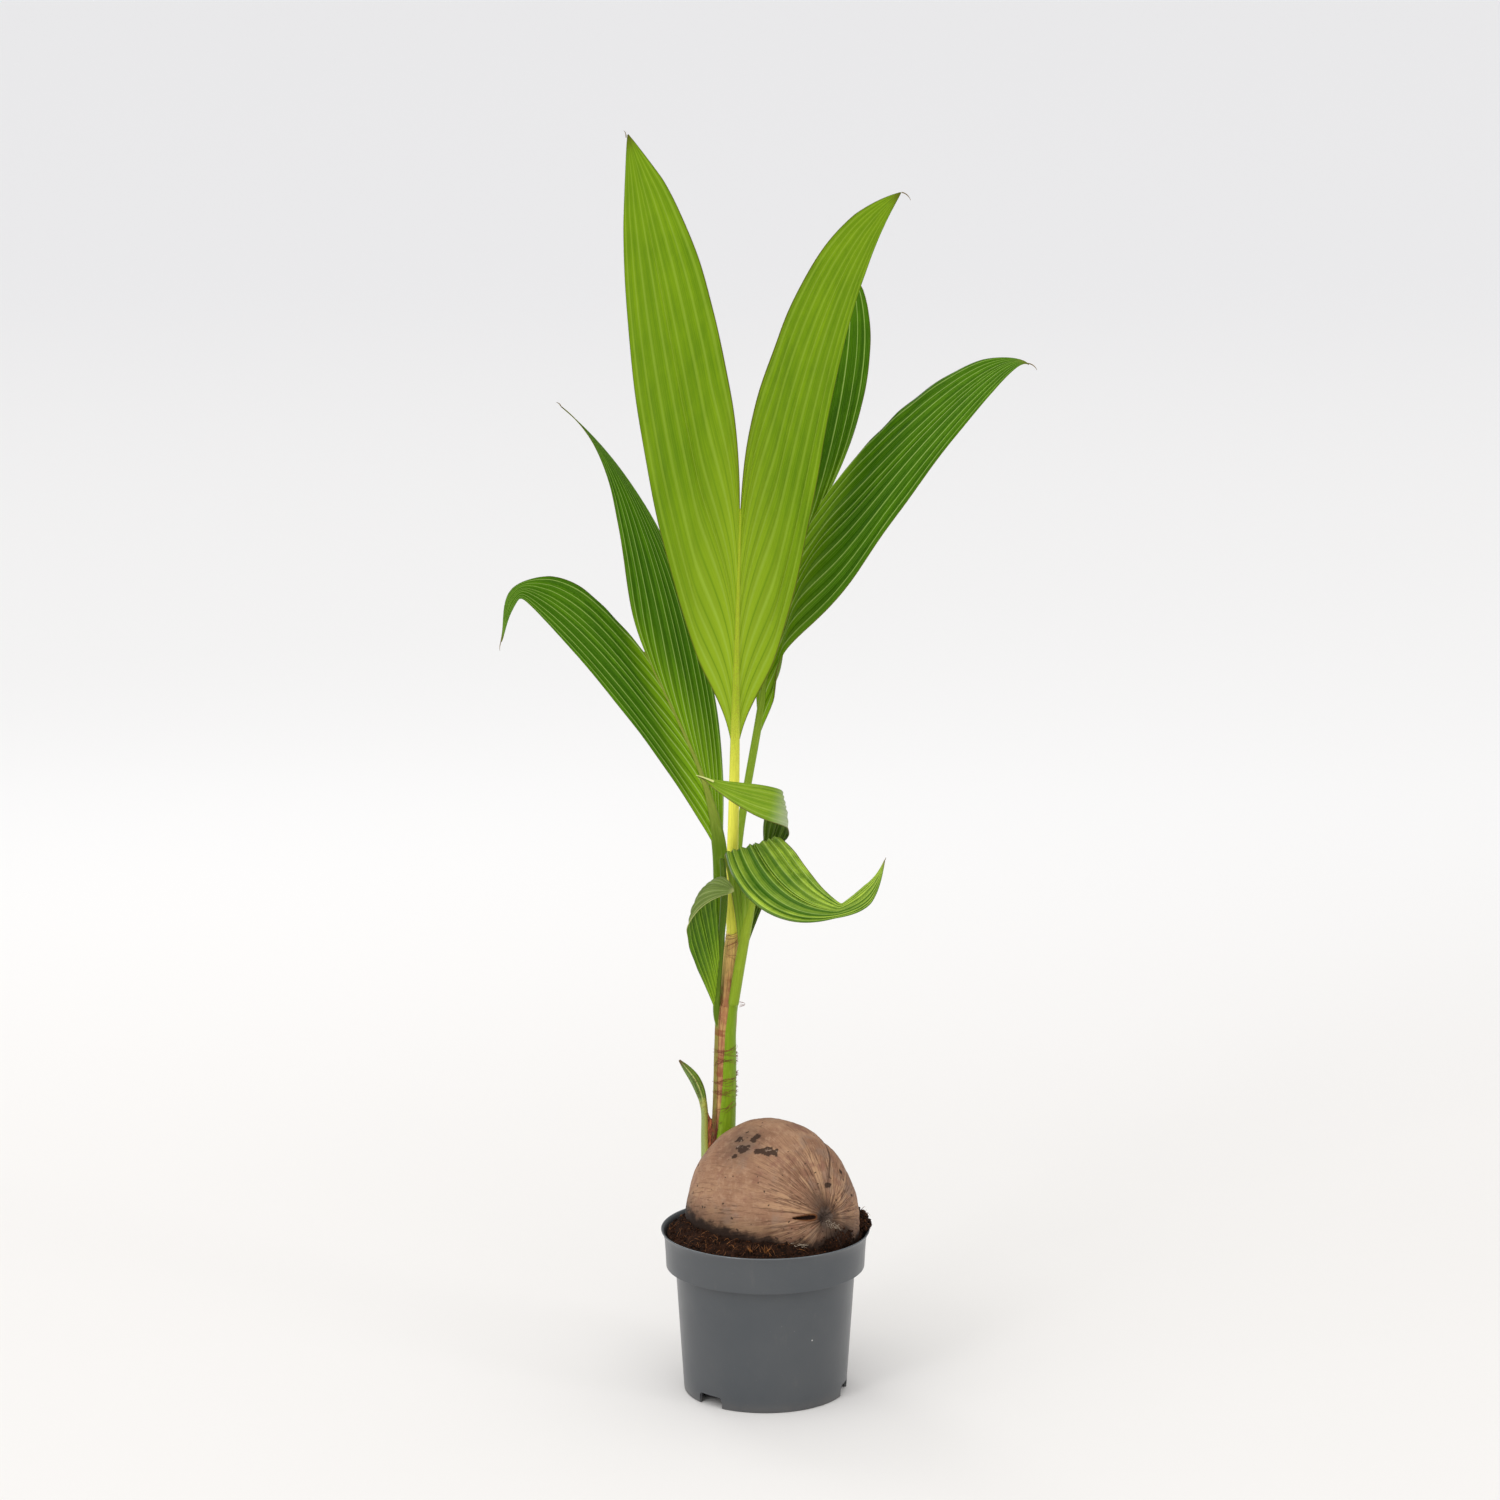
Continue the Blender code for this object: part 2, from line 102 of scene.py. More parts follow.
def gridPiece(name, places, grain=None):
    # a grid with a UV map, 0 to 1 across and along, whose points go to their places, row by row;
    # grain, where given, is kept for the materials
    rows, columns = places.shape[0] - 1, places.shape[1] - 1
    item = added(name, bpy.ops.mesh.primitive_grid_add, x_subdivisions=columns, y_subdivisions=rows, size=1)
    flat = np.empty(len(item.data.vertices) * 3)
    item.data.vertices.foreach_get("co", flat)
    flat = flat.reshape(-1, 3)
    column = np.rint((flat[:, 0] + 0.5) * columns).astype(int)
    row = np.rint((flat[:, 1] + 0.5) * rows).astype(int)
    item.data.vertices.foreach_set("co", places[row, column].reshape(-1))
    if grain is not None:
        keepAttribute(item, "grain", grain[row, column])
    item.data.update()
    return item


def finishPiece(item, materials, nodes=(), smooth=True):
    makeActive(item)
    if smooth:
        bpy.ops.object.shade_smooth()
    item.data.materials.clear()
    for material in materials:
        item.data.materials.append(material)
    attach(item, "root")
    if nodes:
        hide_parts(*nodes)


# Curves and numbers

def along(path, share):
    # a point of the smooth curve through all the points of a path
    spans = len(path) - 1
    place = min(max(share, 0.0), 1.0) * spans
    index = min(int(place), spans - 1)
    t = place - index
    before, start = path[max(index - 1, 0)], path[index]
    end, after = path[index + 1], path[min(index + 2, spans)]
    leave = (end - before) * 0.5
    arrive = (after - start) * 0.5
    return (
        start * (2 * t**3 - 3 * t**2 + 1)
        + leave * (t**3 - 2 * t**2 + t)
        + end * (3 * t**2 - 2 * t**3)
        + arrive * (t**3 - t**2)
    )


def asPath(points):
    return [np.array(point, float) for point in points]


def unit(vector):
    return vector / max(float(np.linalg.norm(vector)), 1e-9)


def heading(path, share):
    return unit(along(path, share + 0.01) - along(path, share - 0.01))


def facing(ahead):
    # the front and the right of a stalk that runs ahead
    front = unit(np.array([0.0, -1.0, 0.0]) + ahead * ahead[1])
    return front, np.cross(ahead, front)


def smoothStep(low, high, value):
    share = np.clip((value - low) / (high - low), 0.0, 1.0)
    return share * share * (3.0 - 2.0 * share)


def bell(value, width, power=2):
    return math.exp(-((value / width) ** power))


def noiseAt(x, y, z):
    return noise.noise(Vector((x, y, z)))


# Materials: each helper adds a node to the tree of the sockets that it is given

def linear(red, green, blue):
    channels = []
    for value in (red, green, blue):
        share = value / 255.0
        channels.append(share / 12.92 if share <= 0.04045 else ((share + 0.055) / 1.055) ** 2.4)
    return (*channels, 1.0)


def setSocket(socket, value):
    # a colour may be given as red, green and blue from 0 to 255
    if isinstance(value, bpy.types.NodeSocket):
        socket.id_data.links.new(value, socket)
    elif socket.type == "RGBA" and len(value) == 3:
        socket.default_value = linear(*value)
    else:
        socket.default_value = value


def addNode(tree, kind, *values, **settings):
    node = tree.nodes.new("ShaderNode" + kind)
    for key, value in settings.items():
        setattr(node, key, value)
    for socket, value in zip(node.inputs, values):
        setSocket(socket, value)
    return node


def treeOf(values):
    return next(value.id_data for value in values if isinstance(value, bpy.types.NodeSocket))


def calculate(operation, *values, clamp=False):
    return addNode(treeOf(values), "Math", *values, operation=operation, use_clamp=clamp).outputs[0]


def folded(operation, first, *others):
    for other in others:
        first = calculate(operation, first, other)
    return first


def times(*values):
    return folded("MULTIPLY", *values)


def plus(*values):
    return folded("ADD", *values)


def largest(*values):
    return folded("MAXIMUM", *values)


def scaled(value, factor, base):
    return calculate("MULTIPLY_ADD", value, factor, base)


def away(value, middle):
    return calculate("ABSOLUTE", calculate("SUBTRACT", value, middle))


def vectorMath(operation, *values):
    return addNode(treeOf(values), "VectorMath", *values, operation=operation).outputs


def ramp(value, low, high, first=0.0, final=1.0):
    kind = {"interpolation_type": "SMOOTHSTEP"}
    return addNode(value.id_data, "MapRange", value, low, high, first, final, **kind).outputs[0]


def mix(mask, under, over, blend="MIX"):
    node = addNode(treeOf((mask, under, over)), "Mix", mask, data_type="RGBA", blend_type=blend)
    setSocket(node.inputs[6], under)
    setSocket(node.inputs[7], over)
    return node.outputs[2]


def layered(colour, *layers):
    # each layer is a mask and the colour that it lays on
    for mask, over in layers:
        colour = mix(mask, colour, over)
    return colour


def splitVector(vector):
    return addNode(vector.id_data, "SeparateXYZ", vector).outputs


def joinVector(*axes):
    return addNode(treeOf(axes), "CombineXYZ", *axes).outputs[0]


def stretched(place, x, y, z):
    node = addNode(place.id_data, "Mapping", place)
    node.inputs["Scale"].default_value = (x, y, z)
    return node.outputs[0]


def grainNoise(place, scale, detail=3.0, roughness=0.5, distortion=0.0, output="Fac"):
    # scale is one number, or one for each axis
    if isinstance(scale, tuple):
        place, scale = stretched(place, *scale), 1.0
    node = addNode(place.id_data, "TexNoise")
    setSocket(node.inputs["Vector"], place)
    values = {"Scale": scale, "Detail": detail, "Roughness": roughness, "Distortion": distortion}
    for label, value in values.items():
        node.inputs[label].default_value = value
    return node.outputs[output]


def newGroup(name, inputs, outputs):
    # a label has a kind, Vector, Color or Float, or the number that a Float starts at
    group = bpy.data.node_groups.new(name, "ShaderNodeTree")
    for way, labels in (("INPUT", inputs), ("OUTPUT", outputs)):
        for label, kind in labels.items():
            words = kind if isinstance(kind, str) else "Float"
            socket = group.interface.new_socket(name=label, in_out=way, socket_type="NodeSocket" + words)
            if words != kind:
                socket.default_value = kind
    return group, group.nodes.new("NodeGroupInput").outputs, group.nodes.new("NodeGroupOutput").inputs


def placeGroup(tree, group, **values):
    node = addNode(tree, "Group", node_tree=group)
    for label, value in values.items():
        setSocket(node.inputs[label], value)
    return node.outputs


def newMaterial(name):
    material = bpy.data.materials.new(name)
    material.use_nodes = True
    tree = material.node_tree
    return material, tree, tree.nodes["Principled BSDF"]


def objectPlace(tree):
    return addNode(tree, "TexCoord").outputs["Object"]


def meshPlace(tree):
    return addNode(tree, "TexCoord").outputs["UV"]


def grainPlace(tree, name="grain"):
    return addNode(tree, "Attribute", attribute_type="GEOMETRY", attribute_name=name).outputs["Vector"]


def dress(shader, colour, roughness, specular=0.5, bump=None):
    # bump is a height, its strength and its depth
    setSocket(shader.inputs["Base Color"], colour)
    setSocket(shader.inputs["Roughness"], roughness)
    shader.inputs["Specular IOR Level"].default_value = specular
    if bump:
        node = addNode(shader.id_data, "Bump")
        for label, value in zip(("Height", "Strength", "Distance"), bump):
            setSocket(node.inputs[label], value)
        setSocket(shader.inputs["Normal"], node.outputs["Normal"])


def strandMaterial(name, look):
    # two tones in patches, for threads and fibres
    material, tree, shader = newMaterial(name)
    tone = grainNoise(objectPlace(tree), look["scale"], look.get("detail", 2.0), look.get("coarse", 0.5))
    mask = ramp(tone, *look["turn"]) if "turn" in look else tone
    bump = (tone, *look["bump"]) if "bump" in look else None
    dress(shader, mix(mask, *look["tones"]), look["roughness"], bump=bump)
    return material


# Studio: camera, floor, lights

studio = {
    "camera": (-0.014, -3.6, 1.26), "lookDown": 10.5, "focalPixels": 4112.0, "framePixels": 1500.0,
    "sensor": 36.0, "floorSize": 900.0, "floorZ": -0.0002,
    "floorTone": (0.865, 0.848, 0.832, 1.0), "dim": 0.985, "middleTone": (0.915, 0.912, 0.912, 1.0),
    "farTone": (0.88, 0.88, 0.895, 1.0), "glow": 0.03,
    "skyTone": (0.965, 0.96, 0.955, 1.0), "skyStrength": 0.76, "glossStrength": 0.22,
    "horizonTone": (0.82, 0.82, 0.835, 1.0),
    # each softbox has a place, a width, a height and a power
    "softboxes": {
        "keySoftbox": ((-1.9, -2.6, 2.3), 0.8, 1.6, 18.0),
        "fillSoftbox": ((2.5, -1.6, 1.5), 0.6, 1.8, 9.0),
        "backSoftbox": ((-1.2, 2.0, 2.4), 1.0, 1.2, 9.0),
    },
    "aim": (0.0, 0.0, 0.6),
    "sunStrength": 0.95, "sunAngle": 75.0, "sunTilt": (34.0, -16.0),
}


def hangSky():
    # the sky lights the plant evenly, but leaves its gloss to the softboxes, and meets the far floor unseen
    world = bpy.data.worlds.new("studioSky")
    world.use_nodes = True
    bpy.context.scene.world = world
    tree = world.node_tree
    seen = addNode(tree, "LightPath").outputs
    sky = tree.nodes["Background"]
    setSocket(sky.inputs["Color"], studio["skyTone"])
    strength = ramp(seen["Is Glossy Ray"], 0.0, 1.0, studio["skyStrength"], studio["glossStrength"])
    setSocket(sky.inputs["Strength"], strength)
    horizon = addNode(tree, "Background", studio["horizonTone"])
    mixer = addNode(tree, "MixShader", seen["Is Camera Ray"], sky.outputs[0], horizon.outputs[0])
    setSocket(tree.nodes["World Output"].inputs["Surface"], mixer.outputs[0])


def layFloor():
    floor = added("studioFloor", bpy.ops.mesh.primitive_plane_add, size=studio["floorSize"],
                  location=(0.0, 0.0, studio["floorZ"]))
    applyPlace(floor)
    material, tree, shader = newMaterial("floorPaper")
    place = objectPlace(tree)
    pale = studio["floorTone"]
    dim = (*(value * studio["dim"] for value in pale[:3]), 1.0)
    near = mix(grainNoise(place, 1.4, 2.0), pale, dim)
    # painted light: the paper is painted brighter behind the plant, with a faint painted glow, and painted
    # darker again far away
    reach = calculate("ABSOLUTE", splitVector(place)[1])
    middle = ramp(reach, 0.3, 3.0)
    paper = mix(middle, near, studio["middleTone"])
    dress(shader, mix(ramp(reach, 2.5, 16.0), paper, studio["farTone"]), 0.8, 0.1)
    setSocket(shader.inputs["Emission Color"], paper)
    setSocket(shader.inputs["Emission Strength"], times(middle, ramp(reach, 3.0, 14.0, studio["glow"], 0.0)))
    floor.data.materials.append(material)


def buildStudio():
    tilt = math.radians(90.0 - studio["lookDown"])
    camera = added("photoCamera", bpy.ops.object.camera_add, location=studio["camera"],
                   rotation=(tilt, 0.0, 0.0))
    camera.data.sensor_width = studio["sensor"]
    camera.data.lens = studio["focalPixels"] / studio["framePixels"] * studio["sensor"]
    camera.data.clip_end = studio["floorSize"]
    bpy.context.scene.camera = camera
    layFloor()
    hangSky()
    for name, (place, width, height, power) in studio["softboxes"].items():
        turn = (Vector(studio["aim"]) - Vector(place)).to_track_quat("-Z", "Y").to_euler()
        light = added(name, bpy.ops.object.light_add, type="AREA", location=place, rotation=turn)
        light.data.shape = "RECTANGLE"
        light.data.size, light.data.size_y, light.data.energy = width, height, power
    tilt = [math.radians(angle) for angle in studio["sunTilt"]]
    sun = added("ceilingLight", bpy.ops.object.light_add, type="SUN", rotation=(*tilt, 0.0))
    sun.data.energy = studio["sunStrength"]
    sun.data.angle = math.radians(studio["sunAngle"])
    bpy.context.scene.view_settings.view_transform = "Standard"
    print("studio: camera, floor and four soft lights")


buildStudio()


# Leaf finish: one node group gives the ribs, fine veins, foot, margins and tip of every blade

leafInputs = {
    "place": "Vector", "ribs": 8.0, "blade": "Color", "shade": "Color", "foot": "Color", "rib": "Color",
    "dry": "Color", "ribAmount": 0.5, "ribWidth": 0.1, "valleyAmount": 0.4, "veinAmount": 0.2,
    "footReach": 0.3, "scurf": 0.0, "variety": 0.3, "side": 0.0,
    "bloomAndSheen": "Color", "bloomPlace": 0.5, "bloomReach": 0.1, "bloomAmount": 0.0,
}
surfaceOutputs = {"colour": "Color", "height": "Float", "gloss": "Float"}


def leafGroup():
    group, given, out = newGroup("leafSurface", leafInputs, surfaceOutputs)
    shade, rib = given["shade"], given["rib"]
    across, lengthwise = splitVector(given["place"])[:2]
    cells = times(across, given["ribs"])
    # slow drifts keep the lines from looking ruled
    drift = grainNoise(joinVector(times(cells, 0.6), times(lengthwise, 3.0), 0.0), 1.0, 2.0)
    cells = scaled(calculate("SUBTRACT", drift, 0.5), 0.10, cells)
    slope = calculate("SUBTRACT", calculate("FRACT", cells), 0.5)
    offRidge = calculate("ABSOLUTE", slope)
    footMask = ramp(lengthwise, 0.0, given["footReach"], 1.0, 0.0)
    ribLine = ramp(offRidge, times(given["ribWidth"], 0.15), given["ribWidth"], 1.0, 0.0)
    # fine veins run along the blade and gather with the ribs
    strand = grainNoise(joinVector(times(cells, 9.0), times(lengthwise, 3.5), 0.0), 1.0, 3.0, 0.65)
    hair = grainNoise(joinVector(times(cells, 34.0), times(lengthwise, 10.0), 2.0), 1.0, 2.0, 0.6)
    fine = scaled(calculate("SINE", times(cells, 2.0 * math.pi * 7.0)), 0.5, 0.5)
    patch = grainNoise(joinVector(times(across, 2.0), times(lengthwise, 7.0), 0.0), 1.6, 3.0, 0.55)
    tone = ramp(plus(times(strand, 0.8), times(patch, 0.5)), 0.45, 0.90)
    # each pleat has a tone of its own
    count = joinVector(times(calculate("FLOOR", cells), 5.37), times(lengthwise, 1.3), 4.0)
    own = times(ramp(grainNoise(count, 1.0, 1.0), 0.40, 0.62), given["variety"])
    # the slope of a pleat that turns from the light is darker
    side = times(ramp(slope, -0.06, 0.12), given["side"], ramp(across, 0.05, 0.60, 0.45, 1.0))
    # a pale waxy bloom, with a painted sheen, lies over the place where a blade bends
    bloomAndSheen = ramp(away(lengthwise, given["bloomPlace"]), 0.0, given["bloomReach"], given["bloomAmount"], 0.0)
    bloomAndSheen = times(bloomAndSheen, ramp(strand, 0.30, 0.58, 0.45, 1.0))
    # brown scurf in dots, and dry margins and tips
    dots = grainNoise(given["place"], (60.0, 260.0, 1.0), 3.0, 0.7)
    edge = calculate("MINIMUM", across, calculate("SUBTRACT", 1.0, across))
    margin = ramp(edge, 0.002, 0.012, 0.75, 0.0)
    tip = ramp(scaled(strand, 0.05, lengthwise), 0.985, 1.035)
    colour = layered(
        mix(tone, given["blade"], shade),
        (own, shade),
        (times(ramp(hair, 0.44, 0.62), given["veinAmount"]), shade),
        (times(ramp(fine, 0.72, 1.0), given["veinAmount"], 0.35), rib),
        (times(footMask, 0.85), given["foot"]),
        # painted shade: the valleys between the ribs are darkened, and near the foot a dark line is painted
        # in each crease
        (times(ramp(offRidge, 0.30, 0.5), given["valleyAmount"]), shade),
        (times(ramp(offRidge, 0.44, 0.5), footMask, 0.9), shade),
        (side, shade),
        (times(ribLine, given["ribAmount"], ramp(strand, 0.25, 0.6, 0.55, 1.0)), rib),
        (times(ramp(offRidge, 0.02, 0.10, 1.0, 0.0), footMask, 0.5), rib),
        (bloomAndSheen, given["bloomAndSheen"]),
        (times(ramp(dots, 0.50, 0.64), given["scurf"]), (0.24, 0.22, 0.15, 1.0)),
        (calculate("MAXIMUM", margin, tip, clamp=True), given["dry"]),
    )
    setSocket(out["colour"], colour)
    height = plus(times(ribLine, 0.5), times(fine, 0.16), times(strand, 0.45), times(hair, 0.20))
    setSocket(out["height"], height)
    setSocket(out["gloss"], scaled(hair, 0.12, scaled(patch, 0.20, -0.08)))
    return group


leafSurface = leafGroup()
leafTint = (0.85, 1.0, 0.42, 1.0)


def leafMaterial(name, look, ribs):
    material, tree, shader = newMaterial(name)
    values = {label: look[label] for label in leafInputs if label in look}
    surface = placeGroup(tree, leafSurface, place=meshPlace(tree), ribs=float(ribs), **values)
    gloss = plus(surface["gloss"], look["roughness"])
    dress(shader, surface["colour"], gloss, look["specular"], (surface["height"], 0.35, 0.0005))
    shader.inputs["Specular Tint"].default_value = look.get("tint", leafTint)
    through = addNode(tree, "BsdfTranslucent", surface["colour"])
    mixer = addNode(tree, "MixShader", look["through"], shader.outputs[0], through.outputs[0])
    setSocket(tree.nodes["Material Output"].inputs["Surface"], mixer.outputs[0])
    return material


# "through" is the share of light that a blade lets through
leafLooks = {
    "youngUnder": {
        "blade": (138, 174, 12), "shade": (98, 138, 0), "foot": (164, 192, 38), "rib": (170, 200, 70),
        "dry": (96, 92, 20), "ribAmount": 0.42, "ribWidth": 0.20, "valleyAmount": 0.30,
        "veinAmount": 0.32, "footReach": 0.42, "roughness": 0.36, "specular": 0.32, "through": 0.22,
        "variety": 0.25,
    },
    "youngUpper": {
        "blade": (104, 146, 8), "shade": (74, 114, 0), "foot": (150, 178, 40), "rib": (160, 190, 80),
        "dry": (96, 92, 20), "ribAmount": 0.60, "ribWidth": 0.09, "valleyAmount": 0.35,
        "veinAmount": 0.25, "footReach": 0.30, "roughness": 0.30, "specular": 0.4, "through": 0.2,
        "variety": 0.3,
    },
    "matureUpper": {
        "blade": (80, 128, 0), "shade": (40, 86, 0), "foot": (132, 172, 26), "rib": (170, 196, 104),
        "dry": (116, 102, 44), "ribAmount": 0.78, "ribWidth": 0.070, "valleyAmount": 0.26,
        "veinAmount": 0.36, "footReach": 0.34, "roughness": 0.17, "specular": 0.5, "through": 0.08,
        "variety": 0.5,
        "tint": (0.50, 0.90, 0.12, 1.0),
    },
    "matureUnder": {
        "blade": (96, 128, 34), "shade": (70, 104, 14), "foot": (124, 150, 44), "rib": (138, 164, 74),
        "dry": (116, 102, 44), "ribAmount": 0.40, "ribWidth": 0.16, "valleyAmount": 0.35,
        "veinAmount": 0.25, "footReach": 0.22, "roughness": 0.40, "specular": 0.35, "through": 0.1,
        "variety": 0.3,
    },
    "lowUpper": {
        "blade": (214, 242, 82), "shade": (48, 102, 0), "foot": (158, 190, 52), "rib": (206, 232, 128),
        "dry": (120, 104, 48), "ribAmount": 0.40, "ribWidth": 0.060, "valleyAmount": 0.30,
        "veinAmount": 0.42, "footReach": 0.08, "roughness": 0.20, "specular": 0.5, "through": 0.12,
        "variety": 0.6, "side": 0.80,
    },
    "lowUnder": {
        "blade": (142, 170, 44), "shade": (98, 136, 14), "foot": (146, 174, 46), "rib": (166, 190, 84),
        "dry": (120, 104, 48), "ribAmount": 0.45, "ribWidth": 0.20, "valleyAmount": 0.45,
        "veinAmount": 0.30, "footReach": 0.1, "roughness": 0.32, "specular": 0.4, "through": 0.16,
        "variety": 0.35,
    },
    # painted shade: the upper face of leaf D's right half is a darker copy of lowUpper, for the shade inside
    # its curl
    "flapUpper": {
        "blade": (84, 118, 14), "shade": (34, 62, 0), "foot": (120, 150, 40), "rib": (150, 176, 76),
        "dry": (120, 104, 48), "ribAmount": 0.35, "ribWidth": 0.075, "valleyAmount": 0.30,
        "veinAmount": 0.42, "footReach": 0.08, "roughness": 0.26, "specular": 0.4, "through": 0.10,
        "variety": 0.5, "side": 0.5,
    },
    "flapUnder": {
        "blade": (157, 188, 44), "shade": (105, 146, 14), "foot": (146, 174, 46), "rib": (186, 211, 96),
        "dry": (150, 160, 84), "ribAmount": 0.42, "ribWidth": 0.16, "valleyAmount": 0.55,
        "veinAmount": 0.45, "footReach": 0.1, "roughness": 0.32, "specular": 0.4, "through": 0.16,
        "variety": 0.35,
        # a pale waxy bloom with a painted sheen at the curl's bend
        "bloomAndSheen": (200, 206, 180), "bloomPlace": 0.54, "bloomReach": 0.13, "bloomAmount": 0.80,
    },
    "cupUpper": {
        "blade": (104, 150, 8), "shade": (40, 84, 0), "foot": (140, 178, 30), "rib": (152, 184, 58),
        "dry": (96, 92, 36), "ribAmount": 0.65, "ribWidth": 0.09, "valleyAmount": 0.55,
        "veinAmount": 0.34, "footReach": 0.36, "roughness": 0.22, "specular": 0.42, "through": 0.08,
        "variety": 0.4,
    },
    "cupUnder": {
        "blade": (128, 150, 70), "shade": (84, 108, 40), "foot": (116, 146, 44), "rib": (168, 182, 116),
        "dry": (186, 190, 120), "ribAmount": 0.50, "ribWidth": 0.20, "valleyAmount": 0.60,
        "veinAmount": 0.6, "footReach": 0.2, "roughness": 0.5, "specular": 0.4, "through": 0.06,
        "variety": 0.3, "scurf": 0.4,
    },
}


# Leaf blades, grown by the rule of the solids and carried to finer ribs

bladeMesh = {
    "slopeColumns": 3, "rows": 96, "partRows": 90, "thickness": 0.0008, "pleatShare": 0.36,
    "mostPleat": 0.0042, "seat": -0.0006, "easeReach": 14, "leastWidth": 0.0004, "tipWidth": 0.0007,
}


def startBeside(lobe, stalk, v):
    # where a rib leaves the stalk, on the side of its own first handle, and the stalk's direction there
    path = asPath(stalk["points"])
    share = lobe["reach"][0] + (lobe["reach"][1] - lobe["reach"][0]) * v
    tangent = heading(path, share)
    out = np.array(lobe["inner"][0]) * (1.0 - v) + np.array(lobe["outer"][0]) * v - along(path, share)
    out = unit(out - tangent * float(out @ tangent))
    return along(path, share) + out * (along(stalk["radii"], share) + bladeMesh["seat"]), tangent


def ribRows(starts, part, v):
    # "bow" carries the middle ribs off the straight line between the margins
    inner, outer = np.array(part["inner"]), np.array(part["outer"])
    bow = np.array(part.get("bow", np.zeros((3, 3))))
    u = np.linspace(0.0, 1.0, bladeMesh["partRows"] + 1)[:, None, None]
    w = 1.0 - u
    swell = (4.0 * v * (1.0 - v))[:, None]
    handles = [inner[k] + (outer[k] - inner[k]) * v[:, None] + bow[k] * swell for k in range(3)]
    return starts * w**3 + handles[0] * (3 * u * w**2) + handles[1] * (3 * u**2 * w) + handles[2] * u**3


def evenRows(surface, rows):
    middle = surface.shape[1] // 2
    steps = np.linalg.norm(np.diff(surface[:, middle], axis=0), axis=1)
    lengths = np.concatenate([[0.0], np.cumsum(steps)])
    wanted = np.linspace(0.0, lengths[-1], rows + 1)
    index = np.clip(np.searchsorted(lengths, wanted) - 1, 0, len(lengths) - 2)
    share = (wanted - lengths[index]) / (lengths[index + 1] - lengths[index])
    return surface[index] * (1 - share)[:, None, None] + surface[index + 1] * share[:, None, None]


def bladeSurface(lobe, stalk, columns, rows):
    v = np.linspace(0.0, 1.0, columns + 1)
    # the ribs stand unevenly, as on a real blade
    shift = np.sin(7.3 * v + lobe.get("phase", 0.0)) + 0.7 * np.sin(17.0 * v + 1.0)
    v = v + lobe.get("uneven", 0.22) / lobe["ribs"] * shift * 4.0 * v * (1.0 - v)
    starts, tangents = (np.array(part) for part in zip(*(startBeside(lobe, stalk, value) for value in v)))
    surface = ribRows(starts, lobe, v)
    u = np.linspace(0.0, 1.0, surface.shape[0])[:, None]
    if "hug" in lobe:
        # the ribs leave nearly along the stalk, the inner ones most, and then spread
        first, final, reach = lobe["hug"]
        close = (first * (1.0 - v) + final * v) * (1.0 - smoothStep(0.0, reach * (1.5 - v), u))
        offset = surface - starts
        ahead = np.sum(offset * tangents, axis=2, keepdims=True) * tangents
        surface = starts + ahead + (offset - ahead) * (1.0 - close)[:, :, None]
    if "pinch" in lobe:
        # the outer ribs are drawn in at one place, where the blade is still folded
        place, spread, shift = lobe["pinch"]
        surface = surface + (np.exp(-(((u - place) / spread) ** 2)) * v**2)[:, :, None] * np.array(shift)
    for fold in lobe.get("folds", ()):
        low, high = surface.shape[0] - bladeMesh["easeReach"], surface.shape[0] + bladeMesh["easeReach"]
        surface = np.concatenate([surface, ribRows(surface[-1], fold, v)[1:]])
        # the bend is eased over a few rows on each side of the fold
        for turn in range(fold["ease"]):
            before, after = surface[low - 1:high - 1], surface[low + 1:high + 1]
            surface[low:high] = (before + 2 * surface[low:high] + after) / 4
    return evenRows(surface, rows)


def pleated(surface, lobe):
    ribs = lobe["ribs"]
    u = np.linspace(0.0, 1.0, surface.shape[0])[:, None]
    v = np.linspace(0.0, 1.0, surface.shape[1])[None, :]
    lengthwise = np.gradient(surface, axis=0)
    lengthwise /= np.maximum(np.linalg.norm(lengthwise, axis=2, keepdims=True), 1e-9)
    normal = np.cross(np.gradient(surface, axis=1), lengthwise)
    normal /= np.maximum(np.linalg.norm(normal, axis=2, keepdims=True), 1e-9)
    span = surface[:, -1] - surface[:, 0]
    middle = lengthwise[:, (surface.shape[1] - 1) // 2]
    width = np.linalg.norm(span - middle * np.sum(span * middle, axis=1, keepdims=True), axis=1)[:, None]
    fade = 1.0 - lobe.get("flatten", 0.6) * smoothStep(0.25, 0.95, u)
    depth = np.minimum(bladeMesh["mostPleat"], bladeMesh["pleatShare"] * width / ribs)
    depth = depth * np.minimum(1.0, 0.45 + 8.0 * u) * fade * lobe.get("pleat", 1.0)
    wave = 0.5 - 2.0 * np.abs(np.mod(v * ribs, 1.0) - 0.5)
    uneven = 1.0 + 0.22 * np.sin(9.0 * v * ribs + 2.0 + 3.0 * u)
    bulge = lobe.get("cup", 0.0) * width * 4.0 * v * (1.0 - v) * np.sin(np.pi * np.minimum(1.0, 0.15 + u))
    sway = lobe.get("sway", 0.012) * width * np.sin(5.0 * u + 4.0 * v + lobe.get("phase", 0.0))
    ripple = 0.010 * width * np.sin(31.0 * u + 5.0 * v) * (2.0 * v - 1.0) ** 4
    lift = lobe["up"] * wave * depth * uneven + bulge
    lift = lift + sway * smoothStep(0.1, 0.5, u) + ripple * smoothStep(0.1, 0.4, u)
    return surface + normal * lift[:, :, None]


def tapered(surface, lobe):
    # from the share "point" on, the margins run nearly straight to the tip
    u = np.linspace(0.0, 1.0, surface.shape[0])
    middle = surface[:, surface.shape[1] // 2][:, None, :]
    width = np.maximum(np.linalg.norm(surface[:, -1] - surface[:, 0], axis=1), bladeMesh["leastWidth"])
    begin = lobe.get("point", 0.86)
    chord = np.interp(begin, u, width) * (1.0 - u) / (1.0 - begin) + bladeMesh["tipWidth"]
    keep = np.where(u > begin, np.minimum(1.0, chord / width), 1.0) ** 0.85
    return middle + (surface - middle) * keep[:, None, None]


